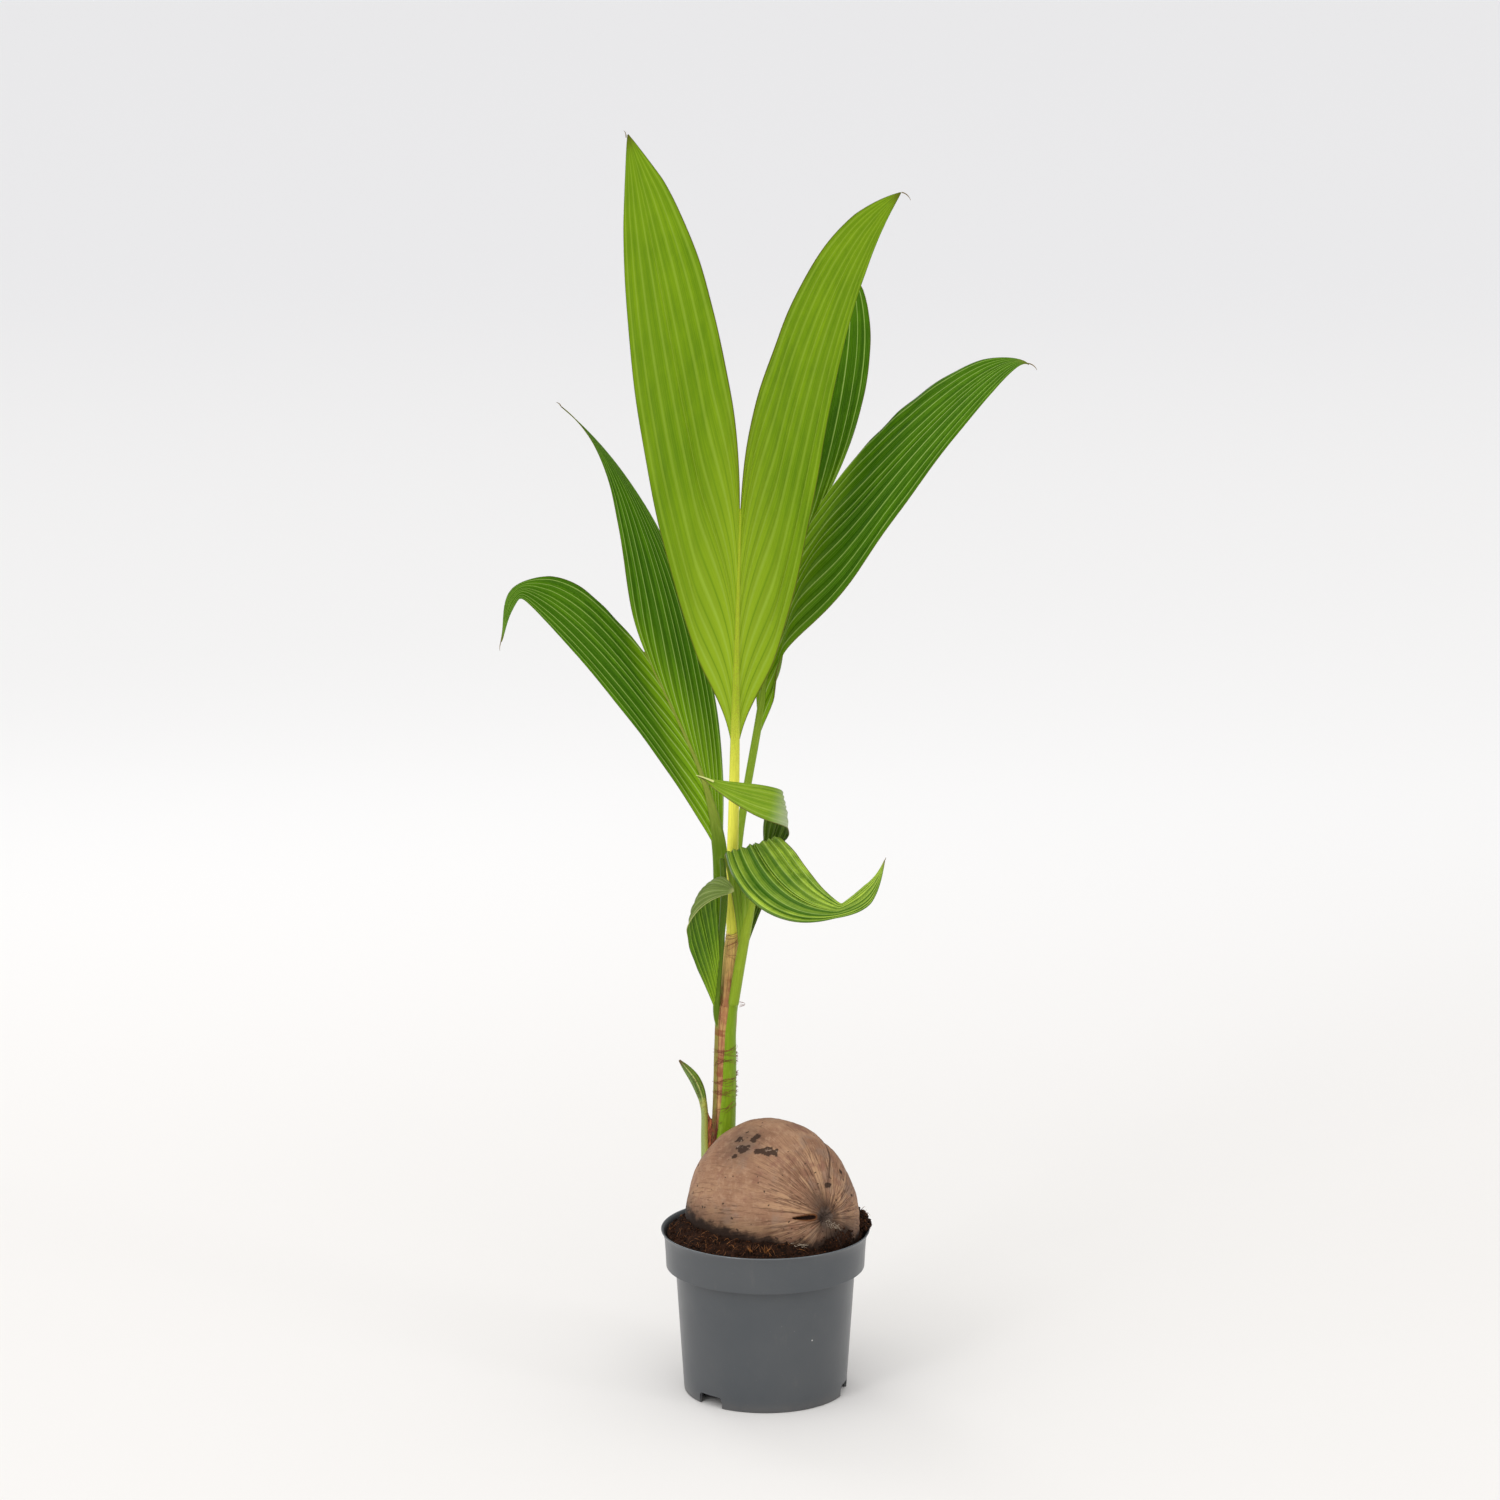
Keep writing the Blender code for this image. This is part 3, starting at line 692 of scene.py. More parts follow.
def growBlade(name, lobe, stalk, look, nodes):
    columns = lobe["ribs"] * 2 * bladeMesh["slopeColumns"]
    surface = bladeSurface(lobe, stalk, columns, lobe.get("rows", bladeMesh["rows"]))
    item = gridPiece(name, tapered(pleated(surface, lobe), lobe))
    sides = ("Upper", "Under") if lobe["up"] > 0 else ("Under", "Upper")
    materials = [leafMaterial(name + side, leafLooks[look + side], lobe["ribs"]) for side in sides]
    finishPiece(item, materials, nodes)
    # the grid's own side keeps the first material, the side that the thickness adds takes the second
    applyModifier(item, "SOLIDIFY", thickness=bladeMesh["thickness"], offset=0.0, material_offset=1)


# Leaf A: the youngest, upright in front, its paler underside towards the front

leafA = {
    "stalk": {
        "points": [
            (-0.0300, 0.0480, 0.4128), (-0.0308, 0.0430, 0.450), (-0.0285, 0.0350, 0.540),
            (-0.0270, 0.0200, 0.620), (-0.0250, 0.0080, 0.715), (-0.0225, 0.0000, 0.809),
        ],
        "radii": [0.0054, 0.0052, 0.0044, 0.0032, 0.0020, 0.0010],
    },
    "left": {
        "reach": (0.98, 0.53), "ribs": 9, "cup": -0.05, "up": 1.0, "flatten": 0.75, "pleat": 0.8,
        "hug": (0.65, 0.56, 0.31),
        "inner": [(-0.031, -0.015, 0.919), (-0.042, -0.025, 1.050), (-0.117, -0.030, 1.137)],
        "outer": [(-0.103, 0.026, 0.767), (-0.134, 0.012, 0.954), (-0.121, -0.029, 1.135)],
    },
    "right": {
        "reach": (0.98, 0.53), "ribs": 9, "cup": -0.05, "up": -1.0, "flatten": 0.75, "phase": 2.0,
        "pleat": 0.8, "hug": (0.65, 0.58, 0.32),
        "inner": [(-0.015, -0.013, 0.895), (0.022, -0.026, 1.063), (0.115, -0.030, 1.089)],
        "outer": [(0.058, 0.028, 0.755), (0.037, 0.010, 0.945), (0.117, -0.029, 1.084)],
    },
}

# Leaf B: the left lobe arches over and its tip hangs, the right lobe stands behind

leafB = {
    "stalk": {
        "points": [
            (-0.0414, 0.0632, 0.356), (-0.0420, 0.0640, 0.430), (-0.0425, 0.0640, 0.495),
            (-0.0610, 0.0700, 0.565), (-0.1100, 0.0900, 0.667),
        ],
        "radii": [0.0042, 0.0042, 0.0040, 0.0018, 0.0008],
    },
    "left": {
        "reach": (0.99, 0.48), "ribs": 9, "cup": 0.06, "up": -1.0, "flatten": 0.5, "phase": 1.0,
        "pleat": 0.8, "hug": (0.45, 0.10, 0.25),
        "inner": [(-0.136, 0.081, 0.697), (-0.169, 0.069, 0.755), (-0.216, 0.055, 0.737)],
        "outer": [(-0.086, 0.057, 0.570), (-0.163, 0.053, 0.667), (-0.219, 0.050, 0.724)],
        "folds": [
            {
                "ease": 30,
                "inner": [(-0.242, 0.048, 0.729), (-0.232, 0.042, 0.702), (-0.2375, 0.035, 0.685)],
                "outer": [(-0.229, 0.045, 0.712), (-0.232, 0.040, 0.698), (-0.2360, 0.036, 0.684)],
            },
        ],
    },
    "right": {
        "reach": (0.95, 0.47), "ribs": 11, "up": 1.0, "flatten": 0.5, "phase": 3.0, "pleat": 0.85,
        "hug": (0.45, 0.10, 0.25),
        "inner": [(-0.142, 0.109, 0.738), (-0.120, 0.132, 0.836), (-0.188, 0.160, 0.884)],
        "outer": [(-0.028, 0.100, 0.631), (-0.076, 0.131, 0.794), (-0.186, 0.160, 0.882)],
    },
}

# Leaf C: one lobe reaches out to the right, the other stands behind

leafC = {
    "stalk": {
        "points": [
            (-0.0278, 0.0634, 0.356), (-0.0255, 0.0670, 0.430), (-0.0240, 0.0680, 0.497),
            (-0.0075, 0.0730, 0.597), (0.0070, 0.0920, 0.677), (0.0275, 0.1110, 0.747),
            (0.0530, 0.1280, 0.802),
        ],
        "radii": [0.0040, 0.0040, 0.0036, 0.0036, 0.0028, 0.0020, 0.0010],
    },
    "right": {
        "reach": (0.99, 0.495), "ribs": 10, "cup": 0.05, "up": 1.0, "flatten": 0.45, "pleat": 0.75,
        "pinch": (0.240, 0.080, (-0.0175, 0.0, 0.002)), "hug": (0.10, 0.02, 0.25),
        "inner": [(0.082, 0.117, 0.851), (0.178, 0.083, 0.960), (0.2335, 0.060, 0.9325)],
        "outer": [(0.007, 0.079, 0.640), (0.218, 0.049, 0.955), (0.2345, 0.060, 0.9290)],
    },
    "back": {
        "reach": (0.98, 0.53), "ribs": 8, "up": -1.0, "flatten": 0.5, "phase": 2.5,
        "inner": [(0.088, 0.146, 0.856), (0.118, 0.164, 0.966), (0.075, 0.185, 1.013)],
        "outer": [(-0.018, 0.121, 0.733), (0.015, 0.166, 0.882), (0.072, 0.185, 1.011)],
    },
}

# Leaf D: each half climbs to a fold, and falls over it in a curl

leafD = {
    "stalk": {
        "points": [
            (-0.0284, 0.0453, 0.354), (-0.0220, 0.0385, 0.395), (-0.0130, 0.0300, 0.445),
            (0.0000, 0.0180, 0.506),
        ],
        "radii": [0.0050, 0.0050, 0.0042, 0.0018],
    },
    "left": {
        "reach": (0.97, 0.40), "ribs": 9, "up": 1.0, "flatten": 0.2, "sway": 0.0, "pleat": 1.45, "rows": 120,
        "uneven": 0.45,
        "inner": [(0.004, 0.006, 0.508), (0.008, 0.001, 0.513), (0.0120, -0.0050, 0.5150)],
        "outer": [(-0.025, 0.033, 0.430), (-0.032, 0.028, 0.468), (-0.0370, 0.0235, 0.4965)],
        "folds": [
            {
                "ease": 14,
                "inner": [(0.032, -0.043, 0.508), (0.034, -0.065, 0.491), (0.066, -0.080, 0.470)],
                "outer": [(-0.032, -0.033, 0.470), (0.006, -0.057, 0.436), (0.060, -0.085, 0.4585)],
            },
            {
                "ease": 6,
                "inner": [(0.081, -0.077, 0.481), (0.095, -0.073, 0.491), (0.1035, -0.070, 0.508)],
                "outer": [(0.094, -0.081, 0.463), (0.100, -0.080, 0.475), (0.1045, -0.070, 0.506)],
            },
        ],
    },
    "right": {
        "reach": (0.90, 0.30), "ribs": 6, "up": 1.0, "flatten": 0.3, "sway": 0.0, "rows": 110, "pleat": 0.6,
        "point": 0.93,
        "inner": [(-0.006, 0.036, 0.470), (-0.004, 0.034, 0.490), (-0.0020, 0.0310, 0.505)],
        "outer": [(-0.010, 0.042, 0.430), (0.011, 0.030, 0.467), (0.0165, 0.0130, 0.507)],
        "folds": [
            {
                "ease": 12,
                "inner": [(-0.0030, 0.0300, 0.516), (-0.0020, 0.0260, 0.530), (0.0060, 0.0160, 0.5430)],
                "outer": [(0.0200, 0.0080, 0.511), (0.0220, 0.0000, 0.517), (0.0190, -0.0100, 0.5240)],
                "bow": [(0.001, 0.0, 0.002), (0.003, -0.001, 0.004), (0.0050, -0.0010, 0.0050)],
            },
            {
                "ease": 12,
                "inner": [(0.0355, 0.0040, 0.5610), (-0.0147, -0.0180, 0.5637), (-0.0610, -0.0300, 0.5740)],
                "outer": [(0.0140, -0.0240, 0.531), (-0.0140, -0.0360, 0.534), (-0.0590, -0.0300, 0.5755)],
                "bow": [(-0.002, 0.0, 0.002), (0.001, 0.0, 0.002), (0.0, 0.0, 0.0)],
            },
        ],
    },
}

# Leaf E: a short cupped lobe on the left whose top rolls over to the front

leafE = {
    "stalk": {
        "points": [
            (-0.0446, 0.0495, 0.3440), (-0.0405, 0.0370, 0.405), (-0.0372, 0.0301, 0.455),
            (-0.0392, 0.0262, 0.488),
        ],
        "radii": [0.0032, 0.0030, 0.0033, 0.0022],
    },
    "rise": {
        "reach": (0.28, 0.01), "ribs": 8, "cup": -0.10, "up": -1.0, "flatten": 0.2, "sway": 0.0,
        "point": 0.97,
        "inner": [(-0.0420, 0.0310, 0.410), (-0.0430, 0.0275, 0.445), (-0.0440, 0.0215, 0.470)],
        "outer": [(-0.056, 0.034, 0.375), (-0.0705, 0.020, 0.402), (-0.0700, 0.011, 0.4255)],
        "bow": [(0.0, 0.0, 0.0), (-0.003, 0.0, 0.002), (-0.0060, 0.0, 0.0070)],
        "folds": [
            {
                "ease": 10,
                "inner": [(-0.040, 0.012, 0.477), (-0.034, 0.006, 0.475), (-0.0280, 0.0020, 0.4655)],
                "outer": [(-0.0670, 0.003, 0.443), (-0.0520, -0.002, 0.459), (-0.0290, 0.000, 0.4625)],
                "bow": [(-0.0055, -0.002, 0.0075), (-0.003, -0.002, 0.004), (0.0, 0.0, 0.0)],
            },
        ],
    },
}

leafPieces = [
    ("leafALeft", leafA, "left", "young", "young_leaf", ["leaf_a_left"]),
    ("leafARight", leafA, "right", "young", "young_leaf", ["leaf_a_right"]),
    ("leafBLeft", leafB, "left", "mature", "mature_leaf", ["leaf_b_left", "leaf_b_left_tip"]),
    ("leafBRight", leafB, "right", "mature", "mature_leaf", ["leaf_b_right"]),
    ("leafCRight", leafC, "right", "mature", "mature_leaf", ["leaf_c_right"]),
    ("leafCBack", leafC, "back", "mature", "mature_leaf", ["leaf_c_back"]),
    ("leafDLeft", leafD, "left", "low", "young_leaf",
     ["leaf_d_left_rise", "leaf_d_left_hang", "leaf_d_left_tip"]),
    ("leafDRight", leafD, "right", "flap", "young_leaf", ["leaf_d_right_rise", "leaf_d_right_curl"]),
    ("leafERise", leafE, "rise", "cup", "mature_leaf", ["leaf_e_rise", "leaf_e_roll"]),
]

for pieceName, leaf, part, look, slot, nodes in leafPieces:
    growBlade(pieceName, leaf[part], leaf["stalk"], look, nodes)
print("leaves: blades grown")


# Tubes and strands

def closeShape(item):
    editMode(item)
    onWholeMesh(bpy.ops.mesh.remove_doubles, threshold=0.000002)
    onWholeMesh(bpy.ops.mesh.fill_holes, sides=0)
    turnOutwards()
    objectMode()


def rollTube(name, tube, outline, columns, rows):
    # a grid rolled round a smooth path, closed at both ends; u runs round from the back, v along
    path = asPath(tube["points"])
    places = np.empty((rows + 1, columns + 1, 3))
    grain = np.empty_like(places)
    walked = 0.0
    last = path[0]
    for row in range(rows + 1):
        share = row / rows
        centre = along(path, share)
        walked += float(np.linalg.norm(centre - last))
        last = centre
        front, right = facing(heading(path, share))
        radius = float(along(tube["radii"], share))
        for column in range(columns + 1):
            turn = 2.0 * math.pi * (column / columns - 0.5)
            sideways, forwards = outline(share, turn)
            places[row, column] = centre + (right * sideways + front * forwards) * radius
            grain[row, column] = (math.cos(turn), math.sin(turn), walked * 100.0)
    item = gridPiece(name, places, grain)
    closeShape(item)
    return item


def addStrands(name, strands):
    # each strand is a list of places and a list of radii; all become one mesh of thin square threads
    curve = bpy.data.curves.new(name, "CURVE")
    curve.dimensions = "3D"
    curve.bevel_depth = 1.0
    curve.bevel_resolution = 0
    curve.use_fill_caps = True
    for places, widths in strands:
        spline = curve.splines.new("POLY")
        spline.points.add(len(places) - 1)
        for point, place, width in zip(spline.points, places, widths):
            point.co = (*place, 1.0)
            point.radius = width
    item = bpy.data.objects.new(name, curve)
    bpy.context.scene.collection.objects.link(item)
    makeActive(item)
    bpy.ops.object.convert(target="MESH")
    return bpy.context.object


def bentStrand(start, end, lift, width, steps=6, wander=0.0, chance=None):
    # a thread from start to end that bows by lift and thins to a point
    start, end, lift = asPath((start, end, lift))
    places = []
    widths = []
    for step in range(steps + 1):
        share = step / steps
        place = start * (1 - share) + end * share + lift * 4.0 * share * (1 - share)
        if chance and 0 < step < steps:
            place = place + uniforms(chance, *[(-wander, wander)] * 3)
        places.append(place)
        widths.append(width * (1.0 - 0.75 * share**2))
    return places, widths


def uniforms(chance, *spans):
    return np.array([chance.uniform(*span) for span in spans])


def gausses(chance, *spreads):
    return np.array([chance.gauss(0.0, spread) for spread in spreads])


# Stalk finish: fine lines along the stalk, a colour that changes along it, and brown scurf

stalkInputs = {
    "grain": "Vector", "rise": 0.5, "low": "Color", "middle": "Color", "high": "Color", "scurf": "Color",
    "turnFrom": 0.3, "turnTo": 0.6, "scurfAmount": 0.0,
}


def stalkGroup():
    group, given, out = newGroup("stalkSurface", stalkInputs, surfaceOutputs)
    grain, rise = given["grain"], given["rise"]
    lines = grainNoise(grain, (7.0, 7.0, 0.35), 3.0, 0.6)
    blotch = grainNoise(grain, (1.3, 1.3, 0.8), 3.0, 0.6)
    dots = grainNoise(stretched(grain, 3.0, 3.0, 6.0), 1.6, 3.0, 0.7)
    turning = ramp(rise, given["turnFrom"], given["turnTo"])
    colour = mix(ramp(rise, 0.06, 0.22), given["low"], given["middle"])
    colour = mix(turning, colour, given["high"])
    darker = mix(1.0, colour, (0.55, 0.6, 0.5, 1.0), "MULTIPLY")
    colour = mix(ramp(lines, 0.42, 0.72, 0.0, 0.55), colour, darker)
    paler = mix(1.0, colour, (0.10, 0.10, 0.03, 1.0), "ADD")
    colour = mix(ramp(blotch, 0.5, 0.75, 0.0, 0.5), colour, paler)
    scurf = times(ramp(dots, 0.46, 0.6), given["scurfAmount"], turning)
    setSocket(out["colour"], mix(scurf, colour, given["scurf"]))
    setSocket(out["height"], scaled(dots, 0.4, lines))
    setSocket(out["gloss"], scaled(blotch, 0.3, 0.3))
    return group


stalkSurface = stalkGroup()


def stalkMaterial(name, look):
    material, tree, shader = newMaterial(name)
    look = {"middle": look["low"], **look}
    values = {label: look[label] for label in stalkInputs if label in look}
    rise = splitVector(meshPlace(tree))[1]
    surface = placeGroup(tree, stalkSurface, grain=grainPlace(tree), rise=rise, **values)
    dress(shader, surface["colour"], surface["gloss"], 0.32, (surface["height"], 0.4, 0.0004))
    shader.inputs["Specular Tint"].default_value = leafTint
    return material


# a stalk has a foot below its leaf's own points, and a groove in front (0) or behind (pi);
# its wings widen it along its path
stalks = {
    "leafARachis": {
        "leaf": leafA, "foot": (-0.0312, 0.0500, 0.3900), "footRadius": 0.0052, "groove": math.pi,
        "wings": [1.0, 1.0, 1.0, 1.10, 1.20, 1.0, 1.0], "node": "leaf_a_rachis",
        "low": (232, 216, 108), "middle": (242, 238, 88), "high": (160, 184, 34), "scurf": (140, 112, 44),
        "turnFrom": 0.50, "turnTo": 0.72, "scurfAmount": 0.45,
    },
    "leafBRachis": {
        "leaf": leafB, "foot": (-0.0402, 0.0615, 0.3220), "footRadius": 0.0038, "groove": 0.0,
        "wings": [1.0, 1.0, 1.25, 1.65, 1.0, 1.0], "node": "leaf_b_rachis",
        "low": (90, 122, 22), "high": (140, 158, 60), "scurf": (128, 96, 44),
        "turnFrom": 0.55, "turnTo": 0.8, "scurfAmount": 0.4,
    },
    "leafCRachis": {
        "leaf": leafC, "foot": (-0.0318, 0.0622, 0.3220), "footRadius": 0.0038, "groove": 0.0,
        "wings": [1.0, 1.0], "node": "leaf_c_rachis",
        "low": (132, 162, 46), "high": (126, 158, 40), "scurf": (128, 96, 44),
        "turnFrom": 0.3, "turnTo": 0.8, "scurfAmount": 0.2,
    },
    "leafERachis": {
        "leaf": leafE, "foot": (-0.0405, 0.0545, 0.3220), "footRadius": 0.0030, "groove": 0.0,
        "wings": [1.0, 1.0], "node": "leaf_e_rachis",
        "low": (92, 120, 22), "high": (66, 104, 12), "scurf": (120, 96, 44),
        "turnFrom": 0.1, "turnTo": 0.6, "scurfAmount": 0.3,
    },
}
petioleLook = {
    "low": (122, 154, 28), "high": (144, 168, 42), "scurf": (128, 92, 40),
    "turnFrom": 0.45, "turnTo": 0.85, "scurfAmount": 0.1,
}


def grooved(turn, groove, deep, wide):
    # the share of the radius that a channel leaves at a turn
    apart = math.atan2(math.sin(turn - groove), math.cos(turn - groove))
    return 1.0 - deep * bell(apart, wide)


def growStalk(name, stalk):
    def outline(share, turn):
        dent = grooved(turn, stalk["groove"], 0.30, 0.55)
        return math.sin(turn) * dent * float(along(stalk["wings"], share)), math.cos(turn) * dent

    leaf = stalk["leaf"]["stalk"]
    tube = {"points": [stalk["foot"]] + leaf["points"], "radii": [stalk["footRadius"]] + leaf["radii"]}
    item = rollTube(name, tube, outline, 32, 90)
    finishPiece(item, [stalkMaterial(name, stalk)], [stalk["node"]])


# Stem: a brown fibrous sheath, with the green petiole of leaf D clasping its right side

stem = {
    "points": [
        (-0.0420, 0.0490, 0.190), (-0.0395, 0.0605, 0.212), (-0.0378, 0.0620, 0.255),
        (-0.0368, 0.0590, 0.310), (-0.0352, 0.0555, 0.344), (-0.0345, 0.0542, 0.352),
        (-0.0330, 0.0520, 0.380), (-0.0304, 0.0484, 0.409), (-0.0303, 0.0474, 0.416),
    ],
    "radii": [0.0093, 0.0108, 0.0104, 0.0100, 0.0096, 0.0074, 0.0067, 0.0060, 0.0051],
    "columns": 72, "rows": 190,
    # the clasp's front edge by height, in degrees from the front
    "clasp": [
        (0.200, -40.0), (0.238, -26.0), (0.260, -14.0), (0.2845, -10.0), (0.3175, -2.0), (0.3514, 15.0),
    ],
    "claspSpans": 5.0 / 8.0, "claspBack": 160.0, "claspProud": 0.0006, "claspThickness": 0.0022,
    "claspTopRadius": 0.0094, "claspHalf": 24, "claspLowRows": 110, "claspHighRows": 60, "claspTurn": 45.0,
    "claspGroove": -2.36,
    "tones": {
        "sheath": ((172, 114, 80), (192, 150, 92)), "strand": (92, 46, 28),
        "olive": ((142, 134, 62), (62, 54, 24)),
        "strip": (214, 178, 118), "seam": (82, 52, 26), "foot": (78, 36, 20), "band": (126, 58, 34),
        "spot": (96, 50, 30), "upper": (244, 206, 122), "torn": (250, 224, 116), "fine": (214, 170, 110),
    },
}


def growSheath():
    def outline(share, turn):
        x, y, long = math.cos(turn), math.sin(turn), share * 22.0
        strands = noiseAt(x * 3.4, y * 3.4, long * 0.35)
        fine = noiseAt(x * 10.0, y * 10.0, long * 0.9 + 7.0)
        swell = 1.0 + 0.030 * strands + 0.022 * fine + 0.045 * bell(turn + 0.72, 0.10)
        # the torn upper edge stands off in flaps
        swell += 0.12 * float(smoothStep(0.93, 1.0, share)) * max(0.0, strands + 0.5 * fine)
        return y * swell, x * swell

    item = rollTube("stemSheath", stem, outline, stem["columns"], stem["rows"])
    finishPiece(item, [sheathMaterial()], ["stem"])


def sheathMaterial():
    material, tree, shader = newMaterial("stemSheath")
    grain = grainPlace(tree)
    u, v = splitVector(meshPlace(tree))[:2]
    strands = grainNoise(grain, (6.0, 6.0, 0.30), 4.0, 0.65, 0.3)
    fine = grainNoise(grain, (16.0, 16.0, 0.9), 3.0, 0.6)
    blotch = grainNoise(grain, (1.2, 1.2, 0.9), 3.0, 0.6)
    banding = grainNoise(grain, (0.25, 0.25, 0.9), 2.0, 0.5)
    spots = grainNoise(grain, (2.0, 2.0, 1.1), 3.0, 0.6)
    # the old leaf base on the left is an olive strip with dark dashes, and a pale strip beside it
    tones = stem["tones"]
    strip = times(ramp(away(u, 0.424), 0.004, 0.018, 0.6, 0.0), ramp(strands, 0.3, 0.6, 1.0, 0.3))
    colour = layered(
        mix(ramp(blotch, 0.38, 0.66), *tones["sheath"]),
        (ramp(strands, 0.50, 0.70, 0.0, 0.8), tones["strand"]),
        (times(ramp(u, 0.385, 0.405, 1.0, 0.0), ramp(u, 0.20, 0.24)),
         mix(ramp(fine, 0.54, 0.66), *tones["olive"])),
        (strip, tones["strip"]),
        (ramp(away(u, 0.400), 0.0, 0.008, 0.85, 0.0), tones["seam"]),
        # a dark foot, and reddish bands where fibres tie round
        (ramp(scaled(blotch, 0.14, v), 0.20, 0.37, 0.92, 0.0), tones["foot"]),
        (ramp(banding, 0.54, 0.66, 0.0, 0.65), tones["band"]),
        # above, dark spots and a light streak run up to the pale torn top
        (times(ramp(spots, 0.52, 0.66, 0.0, 0.6), ramp(v, 0.66, 0.72)), tones["spot"]),
        (times(ramp(v, 0.66, 0.82), ramp(strands, 0.35, 0.62, 0.95, 0.40)), tones["upper"]),
        (ramp(scaled(strands, 0.14, v), 0.930, 1.03, 0.0, 0.95), tones["torn"]),
        (ramp(fine, 0.58, 0.72, 0.0, 0.4), tones["fine"]),
    )
    dress(shader, colour, 0.72, 0.2, (plus(strands, times(fine, 0.6)), 0.6, 0.0009))
    return material


def growClasp():
    # the lower part wraps round the sheath as a crescent and rounds up into the rachis of leaf D
    trunk, path = asPath(stem["points"]), asPath(leafD["stalk"]["points"])
    widths = leafD["stalk"]["radii"]
    heights, fronts = zip(*stem["clasp"])
    leave = unit(path[1] - path[0])
    half, lowRows, highRows = stem["claspHalf"], stem["claspLowRows"], stem["claspHighRows"]
    places = np.empty((lowRows + highRows + 1, half * 2 + 1, 3))
    grain = np.empty_like(places)
    for row in range(lowRows + highRows + 1):
        low = min(row / lowRows, 1.0)
        blend = float(smoothStep(0.50, 1.0, low))
        centre = along(trunk, low * stem["claspSpans"])
        thick = float(along(stem["radii"], low * stem["claspSpans"]))
        radius = thick * (1.0 - blend) + stem["claspTopRadius"] * blend
        if row <= lowRows:
            middle = path[0] + leave * (centre[2] - path[0][2]) / leave[2]
            small = widths[0]
            ahead = leave
        else:
            share = (row - lowRows) / highRows
            middle = along(path, share)
            small = float(along(widths, share))
            ahead = heading(path, share)
        front, right = facing(ahead)
        first = math.radians(float(np.interp(centre[2], heights, fronts)))
        final = math.radians(stem["claspBack"])
        for column in range(half * 2 + 1):
            # out over the crescent's outer side, and back along its inner one
            share = column / half if column <= half else 2.0 - column / half
            bulge = math.sin(math.pi * share)
            outer = stem["claspProud"] - (0.0 if column <= half else stem["claspThickness"] * bulge**0.5)
            turn = first + (final - first) * share
            edge = outer - stem["claspProud"] * (1.0 - min(1.0, bulge * 4.0))
            crescent = centre + np.array([math.sin(turn), -math.cos(turn), 0.0]) * (radius + edge)
            around = math.radians(stem["claspTurn"]) + math.pi * (column / half - 0.5)
            dent = grooved(around, stem["claspGroove"], 0.25, 0.6)
            circle = middle + (right * math.sin(around) + front * math.cos(around)) * small * dent
            places[row, column] = crescent * (1.0 - blend) + circle * blend
            grain[row, column] = (math.cos(around), math.sin(around), places[row, column][2] * 100.0)
    item = gridPiece("leafDPetiole", places, grain)
    closeShape(item)
    finishPiece(item, [stalkMaterial("leafDPetiole", petioleLook)], ["leaf_d_rachis"])


# Side shoot: a short round stalk that opens into a small folded blade with a brown tip

sideShoot = {
    "points": [
        (-0.0548, 0.0548, 0.187), (-0.0555, 0.0670, 0.215), (-0.0565, 0.0690, 0.246),
        (-0.0640, 0.0690, 0.270), (-0.0790, 0.0680, 0.290),
    ],
    "radii": [0.0043, 0.0037, 0.0033, 0.0044, 0.0006],
    "columns": 48, "rows": 110, "opens": (0.50, 0.62), "widens": 0.72, "knot": 0.51,
    "tones": {
        "stalk": ((152, 168, 96), (176, 182, 84)), "left": ((122, 150, 78), (84, 118, 46)),
        "right": ((112, 140, 36), (74, 108, 16)), "rib": (196, 200, 120), "knot": (190, 182, 70),
        "dot": (96, 70, 30), "tip": (104, 84, 50),
    },
}


def growSideShoot():
    def outline(share, turn):
        spread = float(smoothStep(*sideShoot["opens"], share))
        # the blade is folded: a crease in front, thin towards both edges
        crease = 0.55 * bell(turn, 0.50) * spread
        widen = 1.0 + 0.10 * spread + 0.5 * float(smoothStep(sideShoot["widens"], 1.0, share))
        knot = 1.0 + 0.10 * bell(share - sideShoot["knot"], 0.03) * (0.5 + 0.5 * math.sin(3.0 * turn + 1.0))
        return math.sin(turn) * widen * knot, math.cos(turn) * (1.0 - 0.45 * spread - crease) * knot

    item = rollTube("sideShoot", sideShoot, outline, sideShoot["columns"], sideShoot["rows"])
    finishPiece(item, [shootMaterial()], ["side_shoot"])


def shootMaterial():
    material, tree, shader = newMaterial("sideShoot")
    grain = grainPlace(tree)
    u, v = splitVector(meshPlace(tree))[:2]
    lines = grainNoise(grain, (6.0, 6.0, 0.4), 3.0, 0.6)
    patch = grainNoise(grain, (1.5, 1.5, 1.0), 3.0, 0.6)
    dots = grainNoise(stretched(grain, 3.0, 3.0, 5.0), 1.5, 2.0, 0.6)
    lined = ramp(lines, 0.4, 0.65)
    tones = sideShoot["tones"]
    blade = layered(
        mix(lined, *tones["left"]),
        (ramp(u, 0.49, 0.52), mix(lined, *tones["right"])),
        (ramp(away(u, 0.5), 0.006, 0.026, 0.9, 0.0), tones["rib"]),
    )
    colour = layered(
        mix(ramp(u, 0.42, 0.56), *tones["stalk"]),
        (ramp(v, 0.50, 0.60), blade),
        (times(ramp(away(v, 0.53), 0.01, 0.07, 0.45, 0.0), ramp(patch, 0.35, 0.6)), tones["knot"]),
        (times(ramp(dots, 0.54, 0.64, 0.0, 0.85), ramp(v, 0.35, 0.55, 0.25, 1.0)), tones["dot"]),
        (ramp(scaled(patch, 0.12, v), 0.94, 1.04), tones["tip"]),
    )
    dress(shader, colour, scaled(patch, 0.3, 0.3), 0.3, (lines, 0.4, 0.0004))
    return material


# The nut in its husk, with its poles turned so that the scar's streaks run along the mesh

